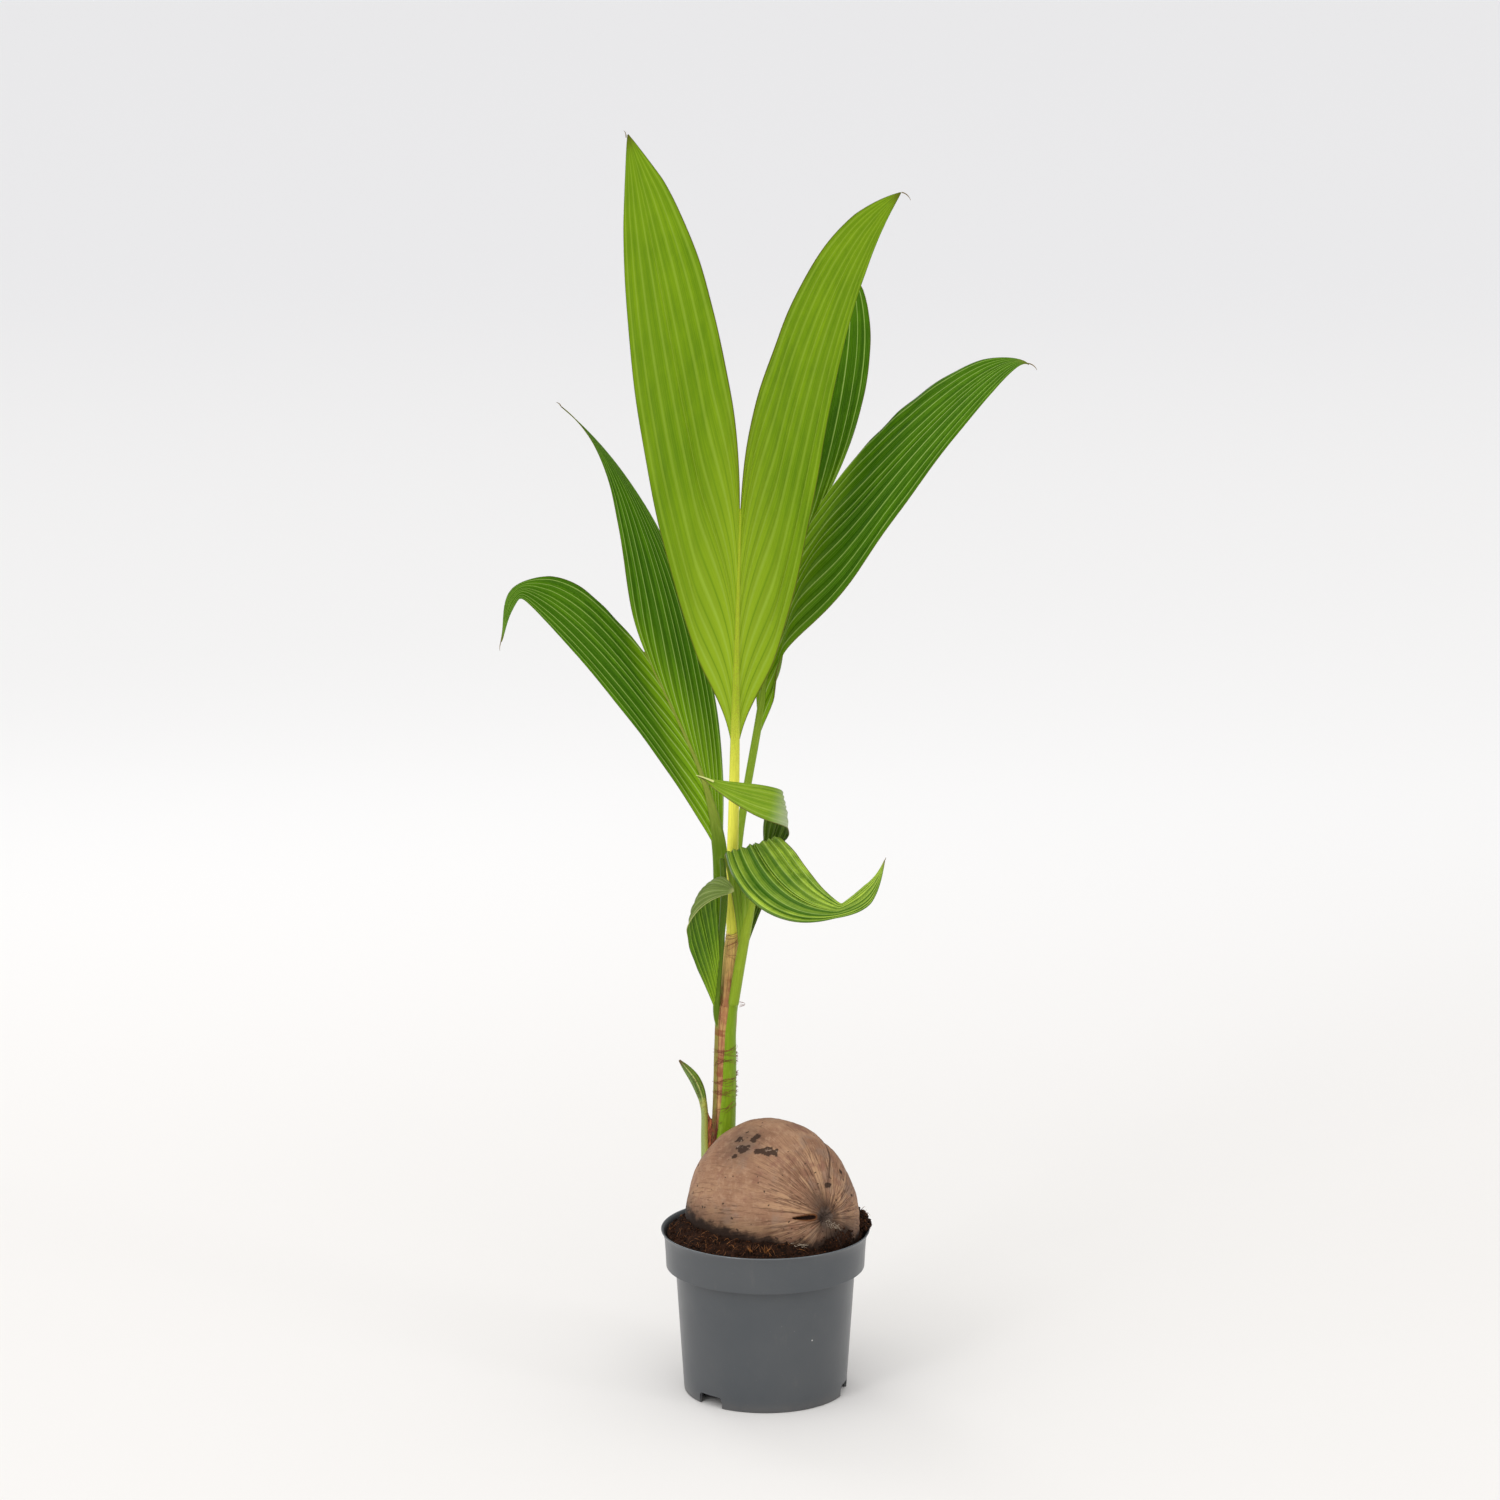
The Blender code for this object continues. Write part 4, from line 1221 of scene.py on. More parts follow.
nut = {
    "centre": (0.0065, 0.0, 0.161), "half": (0.089, 0.068, 0.084), "angles": 0.02, "heading": -35.0,
    "segments": 360, "rings": 240, "scar": (0.0539, -0.0643, 0.1804), "scarEdge": (0.0072, 0.0094),
    "scarDeep": 0.0018, "scarWide": 0.0070, "lipHigh": 0.0009, "lipWide": 0.0028, "lipReach": 0.0098,
    "tipArc": 0.077, "fibreReach": 0.045,
    # each lump is a height and how many to the metre
    "lumps": [(0.0018, 17.0), (0.0011, 38.0), (0.0004, 90.0)],
    "crack": {
        "centre": (0.0350, -0.0703, 0.1814), "turn": 10.0, "half": 0.0115, "wide": 0.0042, "deep": 0.0050,
    },
    # each scab is a place, a half length, a half height, and how far it leans
    "scabs": [
        ((-0.0086, -0.0239, 0.2420), 0.0044, 0.0017, 35.0),
        ((-0.0203, -0.0303, 0.2326), 0.0042, 0.0030, 20.0),
        ((0.0012, -0.0392, 0.2345), 0.0070, 0.0030, 4.0),
        ((-0.0065, -0.0370, 0.2325), 0.0036, 0.0018, 20.0),
        ((0.0060, -0.0400, 0.2335), 0.0035, 0.0022, -15.0),
        ((-0.0284, -0.0310, 0.2263), 0.0027, 0.0016, 30.0),
        ((-0.0240, -0.0180, 0.2390), 0.0034, 0.0018, 25.0),
        ((0.0558, -0.0518, 0.2064), 0.0021, 0.0030, -10.0),
        ((0.0670, -0.0316, 0.2125), 0.0016, 0.0022, 0.0),
        ((0.0696, -0.0351, 0.2061), 0.0011, 0.0011, 0.0),
        ((0.0778, -0.0323, 0.1912), 0.0012, 0.0012, 0.0),
        ((-0.0240, -0.0260, 0.2335), 0.0028, 0.0012, 30.0),
    ],
    "fold": [
        (0.0500, 0.0060, 0.2360), (0.0520, -0.0064, 0.2337), (0.0543, -0.0100, 0.2319),
        (0.0559, -0.0177, 0.2297), (0.0574, -0.0258, 0.2260), (0.0570, -0.0407, 0.2175),
        (0.0571, -0.0461, 0.2121),
    ],
    "foldDrop": 0.0014, "ball": 0.080,
    # smudges and damp places have a centre and a reach, then an amount, or how soft they are; those low on
    # the right are painted shade as well as stain
    "smudgesAndShade": [
        ((-0.022, -0.022, 0.237), 0.034, 0.62), ((0.050, -0.046, 0.200), 0.014, 0.35),
        ((0.044, -0.060, 0.197), 0.016, 0.55), ((0.074, -0.052, 0.160), 0.030, 0.80),
        ((0.060, -0.062, 0.165), 0.018, 0.75), ((0.078, -0.020, 0.200), 0.020, 0.35),
    ],
    "dampAndShade": [
        ((0.0700, -0.0580, 0.1500), 0.0235, 0.35), ((0.0520, -0.0700, 0.1510), 0.0170, 0.50),
        ((0.0600, -0.0640, 0.1500), 0.0190, 0.40),
    ],
    "tones": {
        "husk": ((164, 126, 98), (142, 104, 80)), "mottle": (176, 140, 112), "pale": (186, 148, 112),
        "streak": (108, 74, 54), "patch": (132, 90, 74), "grey": (142, 122, 108), "hair": (84, 56, 42),
        "fine": (96, 66, 48), "furrow": (76, 50, 36), "surround": (78, 56, 44),
        "scar": ((64, 49, 41), (112, 95, 84)), "smudgeAndShade": (94, 74, 60),
        "scab": ((56, 38, 28), (142, 120, 104)),
        "pit": (52, 36, 28), "fold": (62, 34, 20), "crackLip": (132, 78, 34), "crack": (40, 20, 10),
        "dampAndShade": (44, 29, 20),
    },
}


def nutPlace():
    lay = Matrix.Rotation(math.radians(-90.0), 4, "Y")
    turn = Matrix.Rotation(math.radians(nut["heading"]), 4, "Z")
    return Matrix.Translation(Vector(nut["centre"])) @ turn @ lay


def inNut(place):
    # the place in the nut's own frame, and the same with the husk carried to a unit ball
    local = nutPlace().inverted() @ Vector(place)
    return local, Vector([value / half for value, half in zip(local, nut["half"])])


def scabMask(base):
    # 1 inside a scab, falling to 0 over an uneven edge
    worst = 0.0
    for spot, long, tall, lean in nut["scabs"]:
        gap = base - Vector(spot)
        if gap.length > 0.016:
            continue
        turn = math.radians(lean)
        level = math.hypot(gap.x, gap.y) * (1.0 if gap.x >= 0.0 else -1.0)
        across = -level * math.sin(turn) + gap.z * 1.3 * math.cos(turn)
        level = level * math.cos(turn) + gap.z * 1.3 * math.sin(turn)
        shake = 0.82 + 0.38 * noise.noise(base * 260.0) + 0.25 * noise.noise(base * 800.0)
        reach = math.hypot(level / long, across / tall) * shake
        worst = max(worst, 1.0 - float(smoothStep(0.85, 1.35, reach)))
    return worst


def crackMask(base):
    crack = nut["crack"]
    gap = base - Vector(crack["centre"])
    turn = math.radians(crack["turn"])
    level = (gap.x * math.cos(turn) + gap.y * math.sin(turn)) / crack["half"]
    if abs(level) >= 1.0 or gap.length > 0.012:
        return 0.0
    # the slit widens towards the scar, and its edge is torn
    wide = crack["wide"] * (1.0 - level**2) ** 0.4 * (0.75 + 0.45 * level)
    off = gap.z + 0.0004 * noiseAt(level * 6.0, 0.0, 2.0)
    return max(0.0, 1.0 - abs(off) / wide) if wide > 0.0 else 0.0


def onBall(place):
    # the place carried to a ball round the nut's middle, so that a mark follows the husk whatever its lumps
    return (Vector(place) - Vector(nut["centre"])).normalized() * nut["ball"]


foldSteps = [(onBall(start), onBall(end)) for start, end in zip(nut["fold"], nut["fold"][1:])]


def foldDrop(base):
    # the husk steps down on the right of a fold, most at its upper end
    closest, side, high = 1.0, 0.0, 0.0
    spot = onBall(base)
    for number, (start, end) in enumerate(foldSteps):
        share = max(0.0, min(1.0, (spot - start).dot(end - start) / (end - start).length_squared))
        gap = spot - start.lerp(end, share)
        if gap.length < closest:
            closest = gap.length
            side = (end - start).cross(gap).dot(spot)
            high = 1.0 - (number + share) / len(foldSteps)
    return high * bell(closest, 0.009) if side > 0.0 else 0.0


def growNut():
    item = added("coconutHusk", bpy.ops.mesh.primitive_uv_sphere_add, segments=nut["segments"],
                 ring_count=nut["rings"], radius=1.0)
    place = nutPlace()
    tip = Vector((0.0, 0.0, 1.0)).rotation_difference(inNut(nut["scar"])[1].normalized()).to_matrix()
    high, wide, long = nut["half"]
    middle = Vector(nut["centre"])
    grain = []
    marks = []
    for vertex in item.data.vertices:
        point = vertex.co.normalized()
        turn = math.atan2(point.y, point.x)
        fromTip = math.acos(max(-1.0, min(1.0, point.z)))
        husk = tip @ point
        around = math.atan2(husk.y, husk.x)
        girth = 1.0 + nut["angles"] * math.cos(3.0 * around) * (1.0 - husk.z**2)
        base = place @ Vector((husk.x * girth * high, husk.y * girth * wide, husk.z * long))
        x, y = math.cos(turn), math.sin(turn)
        distance = fromTip * nut["tipArc"]
        near = math.exp(-distance / nut["fibreReach"])
        # slow swells and a few flats make the husk lumpy
        lift = sum(height * noise.noise(base * pitch) for height, pitch in nut["lumps"])
        lift += (0.00020 + 0.00060 * near) * noiseAt(x * 9.0, y * 9.0, fromTip * 1.6)
        lift += (0.00014 + 0.00035 * near) * noiseAt(x * 30.0, y * 30.0, fromTip * 4.0)
        furrow = abs(noiseAt(x * 4.2 + 3.0, y * 4.2, fromTip * 0.9))
        lift -= 0.0018 * near * max(0.0, 1.0 - furrow / 0.10)
        # the scar is a rough sunken disc with a raised lip
        rough = noise.noise(base * 260.0)
        uneven = distance * (1.0 + 0.25 * noiseAt(x * 1.7, y * 1.7, 4.0) + 0.10 * rough)
        lift -= nut["scarDeep"] * bell(uneven, nut["scarWide"], 4) * (1.0 + 0.5 * rough)
        lift += nut["lipHigh"] * bell(uneven - nut["lipReach"], nut["lipWide"]) * (1.0 + rough)
        crack, scab = crackMask(base), scabMask(base)
        lift -= nut["crack"]["deep"] * crack**0.6
        lift += 0.0008 * scab * (0.5 + noise.noise(base * 420.0))
        lift -= nut["foldDrop"] * foldDrop(base)
        vertex.co = base + (base - middle).normalized() * lift
        grain.append((x, y, fromTip))
        marks.append((crack, scab, 1.0 - float(smoothStep(*nut["scarEdge"], uneven))))
    keepAttribute(item, "grain", grain)
    keepAttribute(item, "marks", marks)
    item.data.update()
    finishPiece(item, [huskMaterial()], ["coconut"])


def nearPointGroup():
    inputs = {"place": "Vector", "centre": "Vector", "reach": 0.005, "soft": 0.5}
    group, given, out = newGroup("nearPoint", inputs, {"mask": "Float"})
    distance = vectorMath("DISTANCE", given["place"], given["centre"])["Value"]
    inside = times(given["reach"], calculate("SUBTRACT", 1.0, given["soft"]))
    setSocket(out["mask"], ramp(distance, inside, given["reach"], 1.0, 0.0))
    return group


def nearStepGroup():
    # 1 on the straight step from a start, falling to 0 at the reach
    inputs = {"place": "Vector", "start": "Vector", "step": "Vector", "reach": 0.001}
    group, given, out = newGroup("nearStep", inputs, {"mask": "Float"})
    step = given["step"]
    gap = vectorMath("SUBTRACT", given["place"], given["start"])[0]
    ahead, whole = (vectorMath("DOT_PRODUCT", vector, step)["Value"] for vector in (gap, step))
    carried = addNode(group, "VectorMath", step, operation="SCALE")
    setSocket(carried.inputs["Scale"], calculate("DIVIDE", ahead, whole, clamp=True))
    distance = vectorMath("DISTANCE", gap, carried.outputs[0])["Value"]
    setSocket(out["mask"], ramp(distance, times(given["reach"], 0.35), given["reach"], 1.0, 0.0))
    return group


nearPoint = nearPointGroup()
nearStep = nearStepGroup()


def nearMask(place, centre, reach, soft):
    return placeGroup(place.id_data, nearPoint, place=place, centre=centre, reach=reach, soft=soft)["mask"]


def roughPlace(place, scale, amount):
    # a place shaken by noise, so that a mark's edge is uneven
    shake = grainNoise(place, scale, 3.0, output="Color")
    moved = vectorMath("MULTIPLY_ADD", shake, (amount,) * 3, (-amount / 2,) * 3)[0]
    return vectorMath("ADD", place, moved)[0]


def foldCrackAndShadow(place):
    # a dark line follows the fold, thinner towards its foot: partly a thin crack, partly the painted shadow
    # of the ridge
    middle = vectorMath("SUBTRACT", roughPlace(place, 240.0, 0.0016), nut["centre"])[0]
    wavy = stretched(vectorMath("NORMALIZE", middle)[0], *[nut["ball"]] * 3)
    marks = []
    for number, (start, end) in enumerate(foldSteps):
        reach = 0.0024 - 0.00015 * number
        values = {"place": wavy, "start": tuple(start), "step": tuple(end - start), "reach": reach}
        marks.append(times(placeGroup(place.id_data, nearStep, **values)["mask"], 0.95 - 0.07 * number))
    return largest(*marks)


def moistureAndShade(axes, shaken, patch, streak):
    # moisture stains the husk along the soil, higher on the left; the patches at the lower right are painted
    # shade as well as damp
    line = scaled(streak, 0.010, scaled(patch, 0.018, scaled(axes[0], 0.095, axes[2])))
    dampAndShade = [times(nearMask(shaken, *place), 0.94) for place in nut["dampAndShade"]]
    return largest(ramp(line, 0.1725, 0.1845, 1.0, 0.0), ramp(line, 0.1760, 0.2000, 0.42, 0.0), *dampAndShade)


def huskMaterial():
    material, tree, shader = newMaterial("coconutHusk")
    place = objectPlace(tree)
    axes = splitVector(place)
    grain = grainPlace(tree)
    fromTip = splitVector(grain)[2]
    crack, scab, scar = splitVector(grainPlace(tree, "marks"))
    shaken = roughPlace(place, 150.0, 0.008)
    wide = grainNoise(grain, (9.0, 9.0, 1.6), 3.0, 0.6, 0.4)
    streak = grainNoise(grain, (26.0, 26.0, 3.6), 4.0, 0.65, 0.3)
    fine = grainNoise(grain, (80.0, 80.0, 9.0), 3.0, 0.6)
    hair = grainNoise(grain, (44.0, 44.0, 5.0), 2.0, 0.5)
    cloud = grainNoise(place, 26.0, 4.0, 0.6)
    patch = grainNoise(place, 75.0, 4.0, 0.65)
    mottle = grainNoise(roughPlace(place, 60.0, 0.012), 120.0, 4.0, 0.7)
    # fibres show most near the scar and along the lower half
    fibrous = largest(ramp(fromTip, 0.35, 1.25, 1.0, 0.18), ramp(axes[2], 0.175, 0.222, 0.75, 0.0))
    # furrows fan out from the scar, a disc in a dark brown surround
    furrow = times(ramp(away(wide, 0.5), 0.0, 0.030, 1.0, 0.0), ramp(fromTip, 0.25, 1.0, 0.85, 0.06))
    surround = scaled(streak, 0.10, scaled(patch, 0.16, fromTip))
    tones = nut["tones"]
    colour = layered(
        mix(ramp(cloud, 0.35, 0.65), *tones["husk"]),
        (ramp(mottle, 0.46, 0.66, 0.0, 0.65), tones["mottle"]),
        (times(ramp(wide, 0.45, 0.66, 0.0, 0.75), fibrous), tones["pale"]),
        (times(ramp(streak, 0.50, 0.68, 0.0, 0.75), fibrous), tones["streak"]),
        (ramp(patch, 0.52, 0.70, 0.0, 0.6), tones["patch"]),
        (ramp(grainNoise(place, 40.0, 3.0, 0.6), 0.54, 0.68, 0.0, 0.4), tones["grey"]),
        (times(ramp(hair, 0.60, 0.66, 0.0, 0.75), largest(fibrous, 0.35)), tones["hair"]),
        (ramp(fine, 0.55, 0.75, 0.0, 0.4), tones["fine"]),
        (furrow, tones["furrow"]),
        (ramp(surround, 0.24, 0.40, 0.70, 0.0), tones["surround"]),
        (times(scar, ramp(patch, 0.34, 0.5, 0.60, 1.0)), mix(ramp(mottle, 0.35, 0.65), *tones["scar"])),
    )
    # grey smudges lie round the scabs; the two low at the right, under the nut's bulge, are painted shade as
    # well as stain
    for centre, reach, amount in nut["smudgesAndShade"]:
        colour = mix(times(nearMask(shaken, centre, reach, 0.95), amount), colour, tones["smudgeAndShade"])
    crease = foldCrackAndShadow(place)
    colour = layered(
        colour,
        (ramp(scab, 0.1, 0.8, 0.0, 0.92), mix(ramp(mottle, 0.58, 0.66), *tones["scab"])),
        (ramp(grainNoise(place, 210.0, 1.0, 0.4), 0.725, 0.75, 0.0, 0.8), tones["pit"]),
        # a thin crack and the painted shadow of the ridge along the fold
        (crease, tones["fold"]),
        # the crack's depth is painted black, as painted shade, with orange fibre on its lips
        (ramp(crack, 0.0, 0.20, 0.0, 0.65), tones["crackLip"]),
        (ramp(crack, 0.24, 0.60), tones["crack"]),
        (moistureAndShade(axes, shaken, patch, streak), tones["dampAndShade"]),
    )
    height = plus(times(plus(streak, times(fine, 0.5)), fibrous), times(mottle, 0.7))
    height = plus(height, times(furrow, -1.2), times(crease, -0.8))
    dress(shader, colour, scaled(cloud, 0.3, 0.5), 0.22, (height, 0.55, 0.0012))
    return material


# Pot: a turned plastic shell with three notches in its foot

pot = {
    "height": 0.151, "bandTop": 0.0918, "bandFoot": 0.0903, "bandFootZ": 0.1165, "bandRound": 0.0004,
    "bodyTop": 0.0818, "bodyFoot": 0.0742, "corner": 0.003, "foot": 0.0011, "wall": 0.0018,
    # the lip flares thinly outwards, given from its inner side over the edge and down into the band
    "lip": [
        (0.0908, 0.1470), (0.0918, 0.1489), (0.0930, 0.1502), (0.0938, 0.1508), (0.0944, 0.1510),
        (0.0948, 0.1508), (0.0950, 0.1504), (0.0949, 0.1500), (0.0945, 0.1494), (0.0938, 0.1484),
        (0.0931, 0.1468), (0.0925, 0.1449), (0.0920, 0.1428), (0.0916, 0.1405),
    ],
    "floor": 0.0130, "recess": 0.0112, "skirt": 0.0022, "ringDeep": 0.0020, "steps": 160,
    "notchHeadings": (227.5, 347.5, 107.5), "notchWidth": 0.027, "notchHeight": 0.0105, "notchDepth": 0.006,
    "notchRound": 0.004, "fleck": (0.0415, -0.0660, 0.0660), "flat": 0.000001, "creaseAngle": 35.0,
    "tones": {
        "plastic": ((70, 74, 78), (76, 79, 82)), "dust": (112, 109, 104), "underBandShade": (40, 43, 46),
        "foot": (120, 112, 104), "speck": (150, 148, 144), "fleck": (226, 224, 220), "lip": (112, 118, 122),
    },
}


def arcPoints(centre, radius, start, end, count):
    angles = [math.radians(start + (end - start) * step / count) for step in range(count + 1)]
    return [(centre[0] + radius * math.cos(angle), centre[1] + radius * math.sin(angle)) for angle in angles]


def wallRadius(z):
    if z >= pot["bandFootZ"]:
        share = (z - pot["bandFootZ"]) / (pot["height"] - pot["bandFootZ"])
        return pot["bandFoot"] + (pot["bandTop"] - pot["bandFoot"]) * share
    return pot["bodyFoot"] + (pot["bodyTop"] - pot["bodyFoot"]) * z / pot["bandFootZ"]


def potProfile():
    # from the middle of the floor up the inside, over the lip, down the outside and under the underside
    wall, footZ, floor = pot["wall"], pot["bandFootZ"], pot["floor"]
    top, recess = pot["bodyTop"], pot["recess"]
    inner = wallRadius(floor) - wall
    bandRound, foot = pot["bandRound"], pot["foot"]
    skirt = pot["bodyFoot"] - pot["skirt"]
    dip = recess - pot["ringDeep"]
    return [
        (0.0, floor), (inner * 0.5, floor), (inner - pot["corner"], floor), (inner, floor + pot["corner"]),
        (top - wall, footZ + wall - 0.0006), (pot["bandFoot"] - wall, footZ + wall),
        *pot["lip"],
        (wallRadius(0.128), 0.128),
        *arcPoints((pot["bandFoot"] - bandRound, footZ + bandRound), bandRound, 0.0, -90.0, 4),
        (top + 0.0020, footZ + 0.0002), (top + 0.0003, footZ + 0.0006), (top - 0.0001, footZ - 0.0010),
        (wallRadius(0.075), 0.075), (wallRadius(0.035), 0.035),
        *arcPoints((pot["bodyFoot"] - foot, foot), foot, 0.0, -90.0, 4),
        (skirt + 0.0004, 0.0), (skirt, 0.0004), (skirt - 0.0004, dip), (skirt - 0.0024, recess),
        (skirt * 0.62, recess), (skirt * 0.60, dip), (skirt * 0.56, dip), (skirt * 0.54, recess),
        (0.0, recess),
    ]


def selectEdges(item, wanted):
    # picks the edges whose two ends are as wanted, and goes into edit mode
    for edge in item.data.edges:
        edge.select = wanted(*(item.data.vertices[corner].co for corner in edge.vertices))
    for vertex in item.data.vertices:
        vertex.select = False
    editMode(item)
    bpy.ops.mesh.select_mode(type="EDGE")


def turnPot():
    profile = potProfile()
    item = added("potShell", bpy.ops.mesh.primitive_circle_add, vertices=len(profile), radius=0.05)
    for vertex, (radius, z) in zip(item.data.vertices, profile):
        vertex.co = (radius, 0.0, z)
    selectEdges(item, lambda start, end: max(start.x, end.x) < pot["flat"])
    bpy.ops.mesh.delete(type="EDGE")
    bpy.ops.mesh.select_mode(type="VERT")
    spin = {"center": (0.0, 0.0, 0.0), "axis": (0.0, 0.0, 1.0), "angle": 2.0 * math.pi}
    onWholeMesh(bpy.ops.mesh.spin, steps=pot["steps"], **spin)
    onWholeMesh(bpy.ops.mesh.remove_doubles, threshold=0.00002)
    turnOutwards()
    objectMode()
    for direction in pot["notchHeadings"]:
        cutNotch(item, math.radians(direction))
    makeActive(item)
    bpy.ops.object.shade_smooth_by_angle(angle=math.radians(pot["creaseAngle"]))
    finishPiece(item, [potMaterial()], ["pot"], smooth=False)


def cutNotch(item, direction):
    cutter = added("notchCutter", bpy.ops.mesh.primitive_cube_add, size=1.0)
    reach, tall = pot["notchDepth"] * 2.5, pot["notchHeight"] * 2.0
    for vertex in cutter.data.vertices:
        vertex.co = (vertex.co.x * reach, vertex.co.y * pot["notchWidth"], vertex.co.z * tall)
    selectEdges(cutter, lambda start, end: min(start.z, end.z) > 0.0 and abs(start.y - end.y) < pot["flat"])
    bpy.ops.mesh.bevel(offset=pot["notchRound"], segments=5, affect="EDGES")
    objectMode()
    outward = pot["bodyFoot"] - pot["notchDepth"] + reach / 2
    height = pot["notchHeight"] - tall / 2
    cutter.location = (outward * math.cos(direction), outward * math.sin(direction), height)
    cutter.rotation_euler = (0.0, 0.0, direction)
    applyPlace(cutter)
    applyModifier(item, "BOOLEAN", object=cutter, operation="DIFFERENCE", solver="EXACT")
    bpy.data.objects.remove(cutter, do_unlink=True)


def potMaterial():
    material, tree, shader = newMaterial("potPlastic")
    place = objectPlace(tree)
    x, y, z = splitVector(place)
    cloud = grainNoise(place, 14.0, 3.0, 0.55)
    dusty = grainNoise(stretched(place, 1.0, 1.0, 0.35), 70.0, 4.0, 0.7)
    reach = calculate("SQRT", scaled(x, x, times(y, y)))
    # painted shade: a dark line is painted under the band's ledge, where the band meets the body
    underBandShade = ramp(away(z, pot["bandFootZ"] - 0.0006), 0.0006, 0.0022, 0.75, 0.0)
    # the lip's top is painted paler, as a painted highlight, and is a little smoother
    lip = ramp(z, 0.1494, 0.1506, 0.0, 0.55)
    tones = pot["tones"]
    colour = layered(
        mix(ramp(cloud, 0.3, 0.7), *tones["plastic"]),
        (ramp(dusty, 0.58, 0.80, 0.0, 0.16), tones["dust"]),
        # painted shade under the band's ledge
        (times(underBandShade, ramp(reach, 0.0840, 0.0860, 1.0, 0.0)), tones["underBandShade"]),
        # soil dust clings at the foot, with pale specks all over and one fleck in front
        (times(ramp(z, 0.0, 0.012, 0.35, 0.0), dusty), tones["foot"]),
        (ramp(grainNoise(place, 900.0, 1.0, 0.3), 0.80, 0.83, 0.0, 0.5), tones["speck"]),
        (nearMask(place, pot["fleck"], 0.0009, 0.3), tones["fleck"]),
        # painted highlight on the lip's top
        (lip, tones["lip"]),
    )
    height = plus(grainNoise(place, 600.0, 2.0, 0.5), times(cloud, 3.0))
    dress(shader, colour, scaled(lip, -0.25, scaled(dusty, 0.20, 0.24)), 0.5, (height, 0.12, 0.0004))
    return material


# Soil: crumbly coir that heaps up against the nut and at the right

soil = {
    "level": 0.1475, "edge": 0.0893, "cells": 170,
    "rings": [(0.0875, 0.1215), (0.0785, 0.1195), (0.0722, 0.0140)],
    "mound": (0.078, 0.012), "moundHeight": 0.0092, "moundSpread": 0.035,
    "heap": 0.0095, "heapSpread": 0.017,
    "seed": 7, "crumbs": 1500, "crumbSizes": (0.0006, 0.0019),
    "fibres": 420, "fibreWidths": (0.00011, 0.00024),
    "tones": ((22, 12, 7), (50, 28, 16)), "bitTone": (116, 68, 34),
    "clump": (0.0850, 0.0080, 0.1550), "clumpHalf": (0.0125, 0.0240, 0.0095), "clumpSizes": (0.0008, 0.0022),
    "clumpCrumbs": 1300, "clumpFibres": 150, "clumpReach": 0.0972, "lipReach": 0.0915, "lipTop": 0.1512,
    "cling": (0.0680, -0.0610, 0.1530), "clingSpread": (0.0115, 0.0080, 0.0048),
    "clingSizes": (0.0006, 0.0016),
    "clingCrumbs": 620, "clingReach": 0.0962, "clingInside": 0.0900, "clingTop": 0.1518,
    # tufts in front of the nut: a place, how many, how wide and how tall
    "tufts": [
        (-0.0125, -0.0795, 11, 0.007, 0.0105), (0.0010, -0.0810, 7, 0.006, 0.0100),
        (0.0045, -0.0850, 3, 0.003, 0.0065),
    ],
    "fibreLook": {
        "scale": 160.0, "turn": (0.35, 0.65), "tones": ((84, 46, 20), (166, 106, 50)), "roughness": 0.7,
        "bump": (0.3, 0.0003),
    },
}


def onHusk(place):
    # the place carried straight out from the nut's middle onto its side
    middle = np.array(nut["centre"])
    return middle + (np.array(place) - middle) / inNut(place)[1].length


def nutGap(x, y, z=0.158):
    # distance from the nut's side at about the height of the soil
    local, ball = inNut((x, y, z))
    return local.length * (1.0 - 1.0 / max(ball.length, 0.2))


def soilHeight(x, y):
    apart = math.hypot(x - soil["mound"][0], y - soil["mound"][1])
    mound = soil["moundHeight"] * bell(apart, soil["moundSpread"])
    clod = 0.0012 * math.sin(70.0 * x + 1.0) * math.cos(90.0 * y)
    heap = soil["heap"] * bell(max(nutGap(x, y), 0.0), soil["heapSpread"]) * (1.0 if y < 0.02 else 0.6)
    wall = float(smoothStep(soil["edge"], soil["edge"] - 0.014, math.hypot(x, y)))
    lumps = 0.0016 * abs(noiseAt(x * 120.0, y * 120.0, 3.0)) + 0.0010 * noiseAt(x * 330.0, y * 330.0, 1.0)
    lumps += 0.0022 * max(0.0, noiseAt(x * 55.0, y * 55.0, 9.0))
    return soil["level"] + clod + max(mound, heap * wall) + 0.0006 + max(lumps, -0.0004)


def layTopsoil():
    cells = soil["cells"]
    places = np.empty((cells + 1, cells + 1, 3))
    for row in range(cells + 1):
        b = row / cells * 2.0 - 1.0
        for column in range(cells + 1):
            a = column / cells * 2.0 - 1.0
            x = a * math.sqrt(1.0 - b * b / 2.0) * soil["edge"]
            y = b * math.sqrt(1.0 - a * a / 2.0) * soil["edge"]
            drop = 0.0016 * float(smoothStep(0.975, 1.0, math.hypot(x, y) / soil["edge"]))
            places[row, column] = (x, y, soilHeight(x, y) - drop)
    item = gridPiece("topsoil", places)
    # the rim of the surface is carried down inside the pot, ring by ring, and closed below
    editMode(item)
    bpy.ops.mesh.select_mode(type="EDGE")
    bpy.ops.mesh.select_all(action="DESELECT")
    bpy.ops.mesh.select_non_manifold()
    width, level = soil["edge"], soil["level"]
    for radius, height in soil["rings"]:
        bpy.ops.mesh.extrude_region_move(TRANSFORM_OT_translate={"value": (0.0, 0.0, height - level)})
        share = radius / width
        bpy.ops.transform.resize(value=(share, share, 1.0), center_override=(0.0, 0.0, height))
        width, level = radius, height
    bpy.ops.transform.resize(value=(1.0, 1.0, 0.0), center_override=(0.0, 0.0, level))
    bpy.ops.mesh.fill()
    turnOutwards()
    objectMode()
    finishPiece(item, [soilMaterial("topsoil")], ["soil"])


